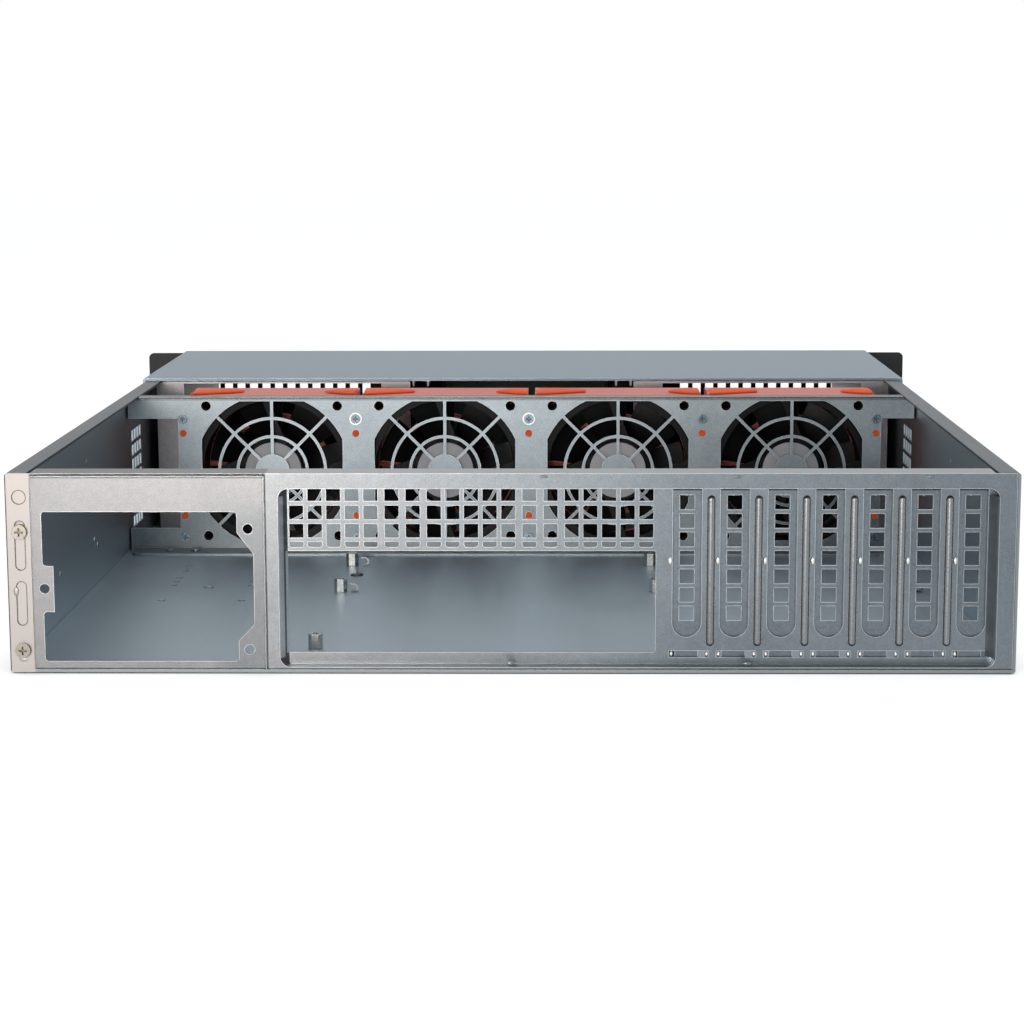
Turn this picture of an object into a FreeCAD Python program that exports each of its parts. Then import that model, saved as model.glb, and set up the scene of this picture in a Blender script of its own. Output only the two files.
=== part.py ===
import FreeCAD, Part
import math
import os

import Sketcher
from FreeCAD import Vector

# A two-unit rackmount server case, short depth, open at the rear half: a folded
# steel tray with a stamped rear panel, a power supply plate, seven slot covers,
# a fan wall with four lift-out fan cages, two drive cages under a fixed front
# cover, and a black front panel with rack ears and a control panel.
# Lengths are millimetres. X runs left to right seen from behind, Y runs from the
# rear panel to the front panel, Z is up from the underside of the floor.

DIMENSIONS = {
    # tray
    "body_width": 431.6,
    "case_depth": 536.5,
    "wall_height": 86.6,
    "steel": 1.2,
    "bend": 1.1,
    "return_width": 9.0,
    "strip_width": 10.5,
    "front_gap": 1.5,
    "seat_gap": 0.1,
    "lip_gap": 0.5,
    "flange_inset": 1.7,
    "screw_clearance": 0.25,
    "side_vent_start": 309.5,
    "side_vent_base": 11.2,
    "side_vent_columns": 4,
    "side_vent_rows": 7,
    "sight_hole_depth": 177.0,
    "sight_hole_height": 67.0,
    "strip_screw_low": 9.8,
    "strip_screw_high": 61.4,
    "mark_depth": 0.35,
    "mark_width": 4.1,
    "mark_top": 76.3,
    "mark_upper": 55.4,
    "mark_upper_length": 21.2,
    "mark_lower": 30.2,
    "mark_lower_length": 18.9,
    "bracket_hole": 2.0,
    "bracket_hole_large": 3.0,
    "bracket_column_one": -174.7,
    "bracket_column_two": -135.3,
    "bracket_column_middle": -156.3,
    "bracket_row_rear": 152.3,
    "bracket_row_large": 186.5,
    "bracket_row_one": 191.5,
    "bracket_row_two": 202.2,
    "bracket_row_three": 211.8,
    "bracket_row_four": 231.1,
    "bracket_row_front": 245.5,
    # square vent holes
    "vent_hole": 6.1,
    "vent_step": 7.97,
    "vent_wide_step": 9.05,
    "vent_row_step": 7.95,
    "vent_top_gap": 0.2,
    "vent_inset": 4.1,
    "dash_base": 53.6,
    "dash_height": 2.5,
    # rear panel
    "psu_width": 99.6,
    "seam": 0.2,
    "rim_bar_left": 5.9,
    "rim_bar_right": 7.3,
    "rim_bar_top": 6.6,
    "rim_corner": 4.5,
    "recess_depth": 6.5,
    "top_flange": 15.0,
    "side_flange": 12.0,
    "slope_width": 3.4,
    "io_left": -96.9,
    "io_base": 7.6,
    "io_width": 158.75,
    "io_height": 44.45,
    "io_corner": 1.0,
    # mainboard pattern, from the input and output aperture
    "board_column": 8.5,
    "board_rear": 10.5,
    "column_two": 157.48,
    "column_three": 281.94,
    "row_left": 33.02,
    "row_right": 10.16,
    "row_middle": 165.1,
    "row_front": 237.49,
    "standoff_flats": 5.6,
    "standoff_height": 6.6,
    "standoff_hole": 1.25,
    "standoff_hole_depth": 5.5,
    # expansion slots
    "slot_count": 7,
    "slot_pitch": 20.32,
    "slot_one": 163.65,
    "slot_width": 12.4,
    "slot_foot": 14.4,
    "rib_radius": 1.65,
    "rib_base": 12.2,
    "rib_length": 62.2,
    "foot_width": 17.1,
    "foot_base": 5.4,
    "foot_height": 2.9,
    "foot_shift": 1.1,
    "cover_width": 18.4,
    "cover_steel": 0.8,
    "cover_drop": 1.3,
    "cover_base": 4.0,
    "cover_tongue": 10.2,
    "cover_taper_base": 9.0,
    "cover_taper_top": 12.0,
    "cover_tab": 11.4,
    "cover_bend": 0.7,
    "cover_gap": 0.2,
    "cover_hole": 6.3,
    "cover_hole_base": 21.4,
    "cover_hole_step": 8.06,
    "cover_hole_count": 7,
    "shelf_steel": 1.0,
    "shelf_depth": 13.0,
    "shelf_rise": 6.0,
    "shelf_drop": 7.0,
    "shelf_side": 11.2,
    "small_screw_head": 2.9,
    "small_screw_rise": 2.0,
    "small_screw_shank": 1.4,
    "small_screw_reach": 3.6,
    "drive_width": 0.7,
    "drive_depth": 0.9,
    # power supply plate
    "plate_top_gap": 0.15,
    "plate_wing": 8.6,
    "plate_flange": 10.0,
    "window_left": 4.5,
    "window_right": 11.6,
    "window_wide_right": 4.7,
    "window_base": 5.0,
    "window_top": 70.0,
    "window_tab": 4.6,
    "window_tab_base": 26.5,
    "window_tab_top": 46.5,
    "ear_low_start": 13.9,
    "ear_low_end": 21.1,
    "ear_high_start": 51.9,
    "ear_high_end": 61.0,
    "window_corner": 1.5,
    "supply_hole": 2.15,
    "supply_hole_inset": 6.9,
    "supply_hole_low": 10.2,
    "supply_hole_high": 62.6,
    "supply_hole_side_inset": 5.1,
    "supply_hole_side": 36.6,
    "pan_head": 3.2,
    "pan_rise": 2.0,
    "pan_shank": 1.6,
    "pan_reach": 6.0,
    # fan wall
    "wall_place": 294.0,
    "wall_clearance": 1.2,
    "lip_depth": 7.0,
    "foot_flange": 19.0,
    "foot_flange_inset": 2.4,
    "end_flange": 12.0,
    "notch_base": 13.4,
    "notch_top": 73.8,
    "foot_corner": 6.0,
    "fan_count": 4,
    "fan_pitch": 94.2,
    "fan_row_centre": 6.1,
    "fan_hole_pitch": 71.5,
    "fan_hole": 2.65,
    "fan_opening": 42.2,
    "fan_opening_half": 38.4,
    "guard_wire": 1.5,
    "guard_ring_outer": 29.0,
    "guard_ring_inner": 19.0,
    "guard_disc": 9.3,
    "guard_spokes": 8,
    "rivet_radius": 2.6,
    "rivet_rise": 0.9,
    "rivet_inset": 8.4,
    "rivet_outer": 191.0,
    "rivet_pair": 14.0,
    # guide rails between the fan cages
    "rail_half": 1.2,
    "rail_wing": 2.8,
    "rail_base": 5.0,
    "rail_top": 79.0,
    "rail_plate": 1.5,
    "rail_reach": 22.0,
    "peg_shift": 1.4,
    "peg_radius": 1.7,
    "peg_low": 20.4,
    "peg_high": 65.6,
    "guide_screw_low": 8.2,
    "guide_screw_high": 73.6,
    "guide_screw_head": 2.5,
    "guide_screw_rise": 1.2,
    "guide_screw_shank": 1.4,
    "guide_screw_reach": 3.4,
    "peg_rise": 0.5,
    # fan cage, fan frame and rotor
    "cage_gap": 2.3,
    "cage_clearance": 0.7,
    "cage_lift": 0.4,
    "cage_floor": 3.1,
    "cage_roof": 0.9,
    "cage_depth": 37.5,
    "cage_web": 2.0,
    "cage_front_margin": 3.0,
    "cage_window": 38.0,
    "fan_side": 80.0,
    "fan_depth": 25.0,
    "fan_play": 0.2,
    "fan_corner": 4.0,
    "fan_bore": 38.3,
    "fan_screw_hole": 2.15,
    "fan_flange": 4.0,
    "fan_waist": 40.8,
    "motor_radius": 16.0,
    "motor_plate": 3.4,
    "strut_width": 3.2,
    "bearing_radius": 4.0,
    "bearing_length": 12.0,
    "shaft_radius": 1.5,
    "shaft_clearance": 0.05,
    "shaft_tail": 2.0,
    "motor_skin": 1.4,
    "rotor_gap": 0.8,
    "rotor_radius": 17.5,
    "rotor_length": 18.0,
    "rotor_wall": 1.5,
    "blade_count": 7,
    "blade_tip": 37.0,
    "blade_root": 15.4,
    "blade_thickness": 1.5,
    "blade_edge": 0.5,
    "blade_root_chord": 15.0,
    "blade_tip_chord": 28.0,
    "blade_root_rise": 14.0,
    "blade_tip_rise": 10.5,
    "blade_camber": 1.8,
    "cage_guard_wire": 2.4,
    "cage_guard_ring": 27.0,
    "cage_guard_disc": 11.0,
    "cage_guard_spokes": 6,
    "tab_rise": 0.5,
    "tab_left_length": 16.5,
    "tab_right_length": 14.0,
    "tab_left_start": 19.5,
    "tab_right_start": 14.5,
    "tab_width": 14.0,
    "tab_slope": 3.0,
    # drive cages
    "drive_rear_inset": 1.5,
    "drive_front_gap": 4.5,
    "drive_side_gap": 5.3,
    "drive_outer_flange": 15.4,
    "drive_bay_width": 113.5,
    "drive_inner_flange": 16.4,
    "drive_steel": 1.0,
    "drive_top_gap": 0.6,
    "drive_foot": 11.0,
    "drive_slot_length": 9.0,
    "drive_slot_width": 3.6,
    "drive_slot_start": 395.0,
    "drive_slot_pitch": 44.45,
    "drive_slot_base": 16.0,
    "drive_slot_rise": 41.0,
    # front cover and its braces
    "cover_rear": 366.5,
    "cover_front_gap": 3.5,
    "cover_seat": 0.1,
    "lid_steel": 1.3,
    "lid_side_gap": 0.2,
    "lid_skirt": 11.2,
    "lid_bend": 1.2,
    "brace_gap": 1.0,
    "brace_width": 9.4,
    "brace_drop": 4.0,
    "brace_steel": 1.0,
    "brace_rear_inset": 8.5,
    "brace_front_inset": 8.0,
    "cover_screw_rear": 395.0,
    "cover_screw_front": 505.0,
    "cover_screw_drop": 5.6,
    # front panel
    "ear_span": 482.6,
    "front_steel": 2.0,
    "front_base": 0.4,
    "front_top_gap": 0.4,
    "ear_corner": 3.0,
    "front_flange": 16.0,
    "front_flange_steel": 1.4,
    "front_flange_gap": 0.1,
    "front_screw_low": 20.0,
    "front_screw_high": 66.0,
    "front_screw_inset": 8.0,
    "rack_slot_span": 465.1,
    "rack_slot_rise": 44.45,
    "rack_slot_centre": 44.0,
    "rack_slot_length": 10.0,
    "rack_slot_width": 6.8,
    "grille_start": 99.3,
    "grille_bar_step": 8.05,
    "grille_slot_width": 5.2,
    "grille_columns": 13,
    "grille_base": 13.2,
    "grille_slot_height": 24.0,
    "grille_row_step": 29.7,
    "grille_rows": 2,
    # control panel
    "control_width": 106.0,
    "control_base": 14.0,
    "control_height": 60.0,
    "control_fit": 0.2,
    "control_lip": 2.5,
    "control_proud": 2.5,
    "control_depth": 12.0,
    "control_wall": 2.4,
    "power_place": -30.0,
    "power_height": 50.0,
    "power_radius": 7.0,
    "reset_height": 30.0,
    "reset_radius": 3.0,
    "button_play": 0.3,
    "button_proud": 1.0,
    "button_length": 9.0,
    "button_collar": 1.4,
    "button_collar_thickness": 1.2,
    "button_travel": 1.2,
    "light_place": -6.0,
    "light_pitch": 8.0,
    "light_height": 50.0,
    "light_radius": 1.6,
    "light_play": 0.3,
    "port_place": 26.0,
    "port_pitch": 20.0,
    "port_height": 44.0,
    "port_width": 13.2,
    "port_rise": 5.8,
    "port_wall": 0.5,
    "port_tongue": 1.8,
    "port_proud": 0.3,
    "board_post": 2.6,
    "board_thickness": 1.6,
    "board_gap": 0.4,
    "board_margin": 3.0,
}

doc = FreeCAD.newDocument("rack_case")
sheet = doc.addObject("Spreadsheet::Sheet", "Sizes")
for row, (name, number) in enumerate(DIMENSIONS.items(), start=1):
    sheet.set(f"A{row}", name)
    sheet.set(f"B{row}", str(number))
    sheet.setAlias(f"B{row}", name)
doc.recompute()


class Size:
    """A length or count together with the sheet expression that gives it."""

    def __init__(self, value, text):
        self.value = value
        self.text = text

    def __add__(self, other):
        other = as_size(other)
        return Size(self.value + other.value, f"({self.text} + {other.text})")

    def __sub__(self, other):
        other = as_size(other)
        return Size(self.value - other.value, f"({self.text} - {other.text})")

    def __mul__(self, other):
        other = as_size(other)
        return Size(self.value * other.value, f"({self.text} * {other.text})")

    def __truediv__(self, other):
        other = as_size(other)
        return Size(self.value / other.value, f"({self.text} / {other.text})")

    def __radd__(self, other):
        return as_size(other) + self

    def __rsub__(self, other):
        return as_size(other) - self

    def __rmul__(self, other):
        return as_size(other) * self

    def __neg__(self):
        return Size(-self.value, f"(0 - {self.text})")


class Sheet:
    """Gives each cell of the sheet by its alias, as a Size."""

    def __getattr__(self, name):
        return Size(float(sheet.get(name)), f"Sizes.{name}")


def as_size(number):
    return number if isinstance(number, Size) else Size(float(number), f"({number})")


def bind(item, path, size):
    item.setExpression(path, as_size(size).text)


def count(size):
    return int(round(size.value))


class Drawing:
    """A sketch on one of a piece's own origin planes, with every point pinned to the sheet."""

    NORMAL = {"XY": 1, "XZ": -1, "YZ": 1}

    def __init__(self, body, plane, level=0):
        self.plane = plane
        self.sketch = body.newObject("Sketcher::SketchObject", "Drawing")
        support = [item for item in body.Origin.OriginFeatures if item.Role == f"{plane}_Plane"][0]
        self.sketch.AttachmentSupport = [(support, "")]
        self.sketch.MapMode = "FlatFace"
        bind(self.sketch, "AttachmentOffset.Base.z", as_size(level) * self.NORMAL[plane])
        self.lines = []
        self.rules = []
        self.sizes = {}

    def rule(self, *terms, size=None):
        if size is None:
            self.rules.append(Sketcher.Constraint(*terms))
            return
        self.sizes[len(self.rules)] = as_size(size).text
        self.rules.append(Sketcher.Constraint(*terms, as_size(size).value))

    def pin(self, line, end, across, along):
        self.rule("DistanceX", -1, 1, line, end, size=across)
        self.rule("DistanceY", -1, 1, line, end, size=along)

    def outline(self, corners):
        """A closed outline of straight lines through the corners."""
        corners = [(as_size(across), as_size(along)) for across, along in corners]
        points = [Vector(across.value, along.value, 0) for across, along in corners]
        first = len(self.lines)
        for index, corner in enumerate(corners):
            following = (index + 1) % len(corners)
            self.lines.append(Part.LineSegment(points[index], points[following]))
            self.rule("Coincident", first + index, 2, first + following, 1)
            self.pin(first + index, 1, *corner)
        return self

    def rectangle(self, left, bottom, right, top):
        return self.outline([(left, bottom), (right, bottom), (right, top), (left, top)])

    def circle(self, across, along, radius):
        across, along, radius = as_size(across), as_size(along), as_size(radius)
        index = len(self.lines)
        self.lines.append(Part.Circle(Vector(across.value, along.value, 0), Vector(0, 0, 1), radius.value))
        self.rule("Radius", index, size=radius)
        self.pin(index, 3, across, along)
        return self

    def oblong(self, across, along, length, width, upright=False):
        """A slot with round ends, lying along the first axis or standing along the second."""
        across, along, length, width = (as_size(item) for item in (across, along, length, width))
        radius = width / 2
        reach = (length - width) / 2
        if upright:
            ends = [(across, along + reach, 0.0), (across, along - reach, math.pi)]
        else:
            ends = [(across + reach, along, -math.pi / 2), (across - reach, along, math.pi / 2)]
        first = len(self.lines)
        arcs = []
        for middle_across, middle_along, start in ends:
            centre = Vector(middle_across.value, middle_along.value, 0)
            ring = Part.Circle(centre, Vector(0, 0, 1), radius.value)
            arcs.append(Part.ArcOfCircle(ring, start, start + math.pi))
        self.lines += [
            arcs[0],
            Part.LineSegment(arcs[0].EndPoint, arcs[1].StartPoint),
            arcs[1],
            Part.LineSegment(arcs[1].EndPoint, arcs[0].StartPoint),
        ]
        for step in range(4):
            self.rule("Tangent", first + step, 2, first + (step + 1) % 4, 1)
        self.rule("Radius", first, size=radius)
        self.pin(first, 3, ends[0][0], ends[0][1])
        self.pin(first + 2, 3, ends[1][0], ends[1][1])
        return self

    def arch(self, across, top, bottom, width):
        """A straight-sided slot, square at the top and round at the bottom."""
        across, top, bottom, width = (as_size(item) for item in (across, top, bottom, width))
        radius = width / 2
        centre = Vector(across.value, (bottom + radius).value, 0)
        bowl = Part.ArcOfCircle(Part.Circle(centre, Vector(0, 0, 1), radius.value), math.pi, 2 * math.pi)
        right_top = Vector((across + radius).value, top.value, 0)
        left_top = Vector((across - radius).value, top.value, 0)
        first = len(self.lines)
        self.lines += [
            bowl,
            Part.LineSegment(bowl.EndPoint, right_top),
            Part.LineSegment(right_top, left_top),
            Part.LineSegment(left_top, bowl.StartPoint),
        ]
        self.rule("Tangent", first, 2, first + 1, 1)
        self.rule("Coincident", first + 1, 2, first + 2, 1)
        self.rule("Coincident", first + 2, 2, first + 3, 1)
        self.rule("Tangent", first + 3, 2, first, 1)
        self.rule("Radius", first, size=radius)
        self.pin(first, 3, across, bottom + radius)
        self.rule("DistanceY", -1, 1, first + 2, 1, size=top)
        self.rule("Horizontal", first + 2)
        return self

    def foil(self, lead, trail, edge, camber, thickness):
        """A cambered blade section: two arcs from the leading to the trailing edge, with blunt ends."""
        (lead_across, lead_along), (trail_across, trail_along) = lead, trail
        span = trail_across - lead_across
        rise = trail_along - lead_along
        chord_squared = span * span + rise * rise
        first = len(self.lines)
        sides = []
        for offset, bulge in ((as_size(0), camber), (edge, camber + thickness - edge)):
            chord = math.sqrt(chord_squared.value)
            start = Vector((lead_across + offset).value, lead_along.value, 0)
            end = Vector((trail_across + offset).value, trail_along.value, 0)
            away = Vector(rise.value, -span.value, 0) * (bulge.value / chord)
            sides.append((start, (start + end) * 0.5 + away, end,
                          (chord_squared + bulge * bulge * 4) / (bulge * 8)))
        inner, outer = sides
        self.lines += [
            Part.ArcOfCircle(inner[0], inner[1], inner[2]),
            Part.LineSegment(inner[2], outer[2]),
            Part.ArcOfCircle(outer[0], outer[1], outer[2]),
            Part.LineSegment(outer[0], inner[0]),
        ]
        for side, line in enumerate((first, first + 2)):
            low, high = (1, 2) if self.lines[line].StartPoint.isEqual(sides[side][0], 0.001) else (2, 1)
            self.rule("Coincident", line, high, first + 1, 1 + side)
            self.rule("Coincident", line, low, first + 3, 2 - side)
            self.rule("Radius", line, size=sides[side][3])
        for point, offset in ((2, as_size(0)), (1, edge)):
            self.pin(first + 3, point, lead_across + offset, lead_along)
        for point, offset in ((1, as_size(0)), (2, edge)):
            self.pin(first + 1, point, trail_across + offset, trail_along)
        return self

    def finish(self):
        self.sketch.addGeometry(self.lines, False)
        self.sketch.addConstraint(self.rules)
        for index, text in self.sizes.items():
            self.sketch.setExpression(f"Constraints[{index}]", text)
        return self.sketch


PIECES = []


class Piece:
    """One folded, stamped, turned or moulded piece, with its own origin in the case."""

    AXES = {"X": Vector(1, 0, 0), "Y": Vector(0, 1, 0), "Z": Vector(0, 0, 1)}

    def __init__(self, label, x=0, y=0, z=0):
        self.body = doc.addObject("PartDesign::Body", label)
        self.body.Label = label
        self.body.AllowCompound = True
        for axis, place in (("x", x), ("y", y), ("z", z)):
            bind(self.body, f"Placement.Base.{axis}", place)
        PIECES.append(self.body)

    def draw(self, plane, level=0):
        return Drawing(self.body, plane, level)

    def axis(self, name):
        return [item for item in self.body.Origin.OriginFeatures if item.Role == f"{name}_Axis"][0]

    def sweep(self, kind, drawing, length, back):
        feature = self.body.newObject(f"PartDesign::{kind}", kind)
        feature.Profile = drawing.finish()
        bind(feature, "Length", length)
        forward = (drawing.plane == "XZ") == (kind == "Pad")
        feature.Reversed = forward != back
        self.body.Tip = feature
        return feature

    def pad(self, drawing, length, back=False):
        """Adds material from the drawing towards plus X, Y or Z, or the other way with back."""
        return self.sweep("Pad", drawing, length, back)

    def cut(self, drawing, length, back=False):
        """Takes material away from the drawing towards plus X, Y or Z, or the other way with back."""
        return self.sweep("Pocket", drawing, length, back)

    def line(self, axis, number, step):
        pattern = self.body.newObject("PartDesign::LinearPattern", "Row")
        pattern.Direction = (self.axis(axis), [""])
        pattern.Mode = "Spacing"
        bind(pattern, "Offset", step)
        bind(pattern, "Occurrences", number)
        return pattern

    def ring(self, axis, number):
        pattern = self.body.newObject("PartDesign::PolarPattern", "Ring")
        pattern.Axis = (self.axis(axis), [""])
        pattern.Angle = 360
        bind(pattern, "Occurrences", number)
        return pattern

    def repeat(self, features, *patterns):
        """Repeats features along one pattern, or along a grid of several."""
        if len(patterns) == 1:
            patterns[0].Originals = features
            self.body.Tip = patterns[0]
            return patterns[0]
        grid = self.body.newObject("PartDesign::MultiTransform", "Grid")
        grid.Originals = features
        grid.Transformations = list(patterns)
        self.body.Tip = grid
        return grid

    def loft(self, drawings):
        """Adds material through sections on parallel planes, in order."""
        sections = [drawing.finish() for drawing in drawings]
        feature = self.body.newObject("PartDesign::AdditiveLoft", "Loft")
        feature.Profile = sections[0]
        feature.Sections = sections[1:]
        self.body.Tip = feature
        return feature

    def edges(self, axis, places):
        """Names the straight edges along an axis at the given places on the other two axes."""
        doc.recompute()
        direction = self.AXES[axis]
        others = [name.lower() for name in "XYZ" if name != axis]
        found = []
        for index, edge in enumerate(self.body.Tip.Shape.Edges, start=1):
            if len(edge.Vertexes) != 2 or edge.Curve.TypeId != "Part::GeomLine":
                continue
            ends = [vertex.Point for vertex in edge.Vertexes]
            if (ends[1] - ends[0]).normalize().cross(direction).Length > 0.001:
                continue
            for place in places:
                offsets = [
                    getattr(ends[0], other) - as_size(where).value
                    for other, where in zip(others, place)
                ]
                if max(abs(offset) for offset in offsets) < 0.01:
                    found.append(f"Edge{index}")
        return found

    def fillet(self, radius, axis, places):
        """Rounds the straight edges along an axis at the given places."""
        edges = self.edges(axis, places)
        base = self.body.Tip
        feature = self.body.newObject("PartDesign::Fillet", "Fillet")
        feature.Base = (base, edges)
        bind(feature, "Radius", radius)
        self.body.Tip = feature
        return feature


def block(x, y, z, width, depth, height):
    """A box from its low corner, in case coordinates."""
    item = doc.addObject("Part::Box", "Block")
    for path, size in (("Placement.Base.x", x), ("Placement.Base.y", rear + y), ("Placement.Base.z", z),
                       ("Length", width), ("Width", depth), ("Height", height)):
        bind(item, path, size)
    return item


def rod(x, y, z, radius, length):
    """A round bar running forward from a place, in case coordinates."""
    item = doc.addObject("Part::Cylinder", "Rod")
    item.Placement.Rotation = FreeCAD.Rotation(Vector(1, 0, 0), -90)
    for path, size in (("Placement.Base.x", x), ("Placement.Base.y", rear + y), ("Placement.Base.z", z),
                       ("Radius", radius), ("Height", length)):
        bind(item, path, size)
    return item


def group(items):
    """Several shapes that don't overlap, held as one."""
    item = doc.addObject("Part::Compound", "Group")
    item.Links = items
    return item


def joined(items):
    item = doc.addObject("Part::MultiFuse", "Joined")
    item.Shapes = items
    item.Refine = False
    return item


def without(base, tool):
    item = doc.addObject("Part::Cut", "Difference")
    item.Base = base
    item.Tool = tool
    item.Refine = False
    return item


def copies(item, number, step):
    """An item and its copies along X, one step apart."""
    row = [item]
    for index in range(1, number):
        twin = group([item])
        bind(twin, "Placement.Base.x", step * index)
        row.append(twin)
    return row


def label_copies(piece, labels, step):
    """Copies of a finished piece along X, one step apart, each under its own label."""
    for label, twin in zip(labels, copies(piece.body, len(labels) + 1, step)[1:]):
        twin.Label = label
        PIECES.append(twin)


def punch(piece, tools, label):
    """Takes a group of separate tools out of a blank, and gives the result the piece's label."""
    piece.body.Label = f"{label}_blank"
    PIECES.remove(piece.body)
    punched = without(piece.body, group(tools))
    punched.Label = label
    PIECES.append(punched)


case = Sheet()

# Places that several pieces share.
half_width = case.body_width / 2
inner_half = half_width - case.steel
return_edge = half_width - case.return_width
return_under = case.wall_height - case.steel
rear = (
    case.pan_rise - case.case_depth - case.front_steel - case.control_proud - case.button_proud
) / 2
front = rear + case.case_depth
strip_edge = case.strip_width - half_width
strip_screw_x = case.strip_width / 2 - half_width + case.seam * 3
strip_screws = [case.strip_screw_low, case.strip_screw_high]
tray_length = case.case_depth - case.front_gap

rim_left = strip_edge + case.psu_width + case.seam * 2
rim_right = inner_half - case.seam
rim_base = case.steel + case.seat_gap / 2
rim_top = case.wall_height - case.seat_gap
recess_left = rim_left + case.rim_bar_left
recess_right = rim_right - case.rim_bar_right
recess_top = rim_top - case.rim_bar_top
recess_base = rim_base + case.steel
recess_back = case.recess_depth + case.steel
flange_half = return_edge - case.flange_inset
flange_under = rim_top - case.steel
plate_left = strip_edge + case.seam
plate_right = plate_left + case.psu_width
plate_top = flange_under - case.plate_top_gap

first_column = case.io_left + case.board_column
board_columns = [first_column, first_column + case.column_two, first_column + case.column_three]
board_places = [(board_columns[0], case.row_left), (board_columns[1], case.row_right),
                (board_columns[2], case.row_right)]
for board_x in board_columns:
    board_places += [(board_x, case.row_middle), (board_x, case.row_front)]
board_places = [(board_x, case.board_rear + board_y) for board_x, board_y in board_places]

slot_x = first_column + case.slot_one
cover_y = recess_back + case.cover_gap
cover_top = recess_top - case.cover_drop
shelf_top = cover_top - case.cover_steel
shelf_y = cover_y + case.cover_steel + case.cover_gap
cover_screw_y = shelf_y + (case.cover_tab - case.cover_steel) / 2

wall_y = case.wall_place
wall_half = inner_half - case.wall_clearance
first_fan = case.fan_row_centre - case.fan_pitch * (case.fan_count - 1) / 2
rail_places = [first_fan + case.fan_pitch * (index - 0.5) for index in range(count(case.fan_count) + 1)]
lip_half = return_edge - case.lip_gap
wall_top = case.wall_height - case.seam
wall_end_top = return_under - case.seam * 2
cage_y = wall_y + case.steel + case.cage_gap
fan_height = case.steel + case.cage_lift + case.cage_floor + case.fan_play + case.fan_side / 2
cage_half = case.fan_pitch / 2 - case.rail_half - case.cage_clearance

drive_rear = case.cover_rear + case.drive_rear_inset
drive_front = case.case_depth - case.front_flange - case.drive_front_gap
drive_outer_edge = inner_half - case.drive_side_gap
drive_outer_side = drive_outer_edge - case.drive_outer_flange
drive_inner_side = drive_outer_side - case.drive_bay_width
drive_inner_edge = drive_inner_side - case.drive_inner_flange
brace_outer = drive_inner_edge - case.brace_gap

cover_front = case.case_depth - case.cover_front_gap
lid_under = case.wall_height + case.cover_seat
lid_top = lid_under + case.lid_steel
lid_inner = half_width + case.lid_side_gap
lid_outer = lid_inner + case.lid_steel
cover_screw_z = case.wall_height - case.cover_screw_drop
cover_screw_places = [(case.cover_screw_rear, cover_screw_z), (case.cover_screw_front, cover_screw_z)]
front_screw_y = case.case_depth - case.front_screw_inset
front_screw_places = [(front_screw_y, case.front_screw_low), (front_screw_y, case.front_screw_high)]
screw_hole = case.guide_screw_shank + case.screw_clearance

panel_face = case.case_depth + case.front_steel
control_face = panel_face + case.control_proud
control_half = case.control_width / 2
control_inner = control_half - case.control_fit - case.control_wall
button_end = control_face + case.button_proud - case.button_length
board_face = button_end - case.button_travel - case.board_gap


def add_screws(piece, plane, level, place, head, rise, shank, reach, rows, back=False):
    """Pan head screws with a cross recess, in rows of (axis, number, step) from the first place.

    The heads stand back from the level and the shanks run on from it.
    """
    across, along = place
    outer = as_size(level) + (rise if back else -rise)
    blade = case.drive_width / 2
    reach_across = head * 0.55
    features = [
        piece.pad(piece.draw(plane, level).circle(across, along, head), rise, back=not back),
        piece.pad(piece.draw(plane, level).circle(across, along, shank), reach, back=back),
        piece.cut(piece.draw(plane, outer).outline([
            (across + reach_across, along - blade), (across + reach_across, along + blade),
            (across + blade, along + blade), (across + blade, along + reach_across),
            (across - blade, along + reach_across), (across - blade, along + blade),
            (across - reach_across, along + blade), (across - reach_across, along - blade),
            (across - blade, along - blade), (across - blade, along - reach_across),
            (across + blade, along - reach_across), (across + blade, along - blade),
        ]), case.drive_depth, back=back),
    ]
    piece.repeat(features, *[piece.line(axis, number, step) for axis, number, step in rows])


# Tray: floor, two side walls with inward returns, and the strip at the rear left.
tray = Piece("chassis_tray", y=rear)
tray.pad(tray.draw("XZ").outline([
    (-half_width, 0), (half_width, 0),
    (half_width, case.wall_height), (return_edge, case.wall_height),
    (return_edge, return_under), (inner_half, return_under),
    (inner_half, case.steel), (-inner_half, case.steel),
    (-inner_half, return_under), (-return_edge, return_under),
    (-return_edge, case.wall_height), (-half_width, case.wall_height),
]), tray_length)
tray.pad(tray.draw("XZ").rectangle(-half_width, 0, strip_edge, case.wall_height), case.steel)
tray.fillet(case.bend, "Y", [
    (-half_width, 0), (half_width, 0), (-half_width, case.wall_height), (half_width, case.wall_height),
])
tray.cut(tray.draw("XY", return_under - case.seam).rectangle(
    return_edge - case.seam, 0, inner_half, case.steel + case.seam), case.steel * 2)

wall_holes = tray.draw("YZ", -half_width)
wall_holes.circle(case.sight_hole_depth, case.sight_hole_height, case.vent_inset / 3)
for along, height in cover_screw_places + front_screw_places:
    wall_holes.circle(along, height, screw_hole)
tray.cut(wall_holes, case.body_width)

strip_holes = tray.draw("XZ")
for height in strip_screws:
    strip_holes.circle(strip_screw_x, height, case.pan_shank + case.screw_clearance)
tray.cut(strip_holes, case.steel)
marks = tray.draw("XZ")
marks.circle(strip_screw_x, case.mark_top, case.mark_width * 0.7)
marks.oblong(strip_screw_x, case.mark_upper, case.mark_upper_length, case.mark_width, upright=True)
marks.oblong(strip_screw_x, case.mark_lower, case.mark_lower_length, case.mark_width, upright=True)
tray.cut(marks, case.mark_depth)

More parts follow.
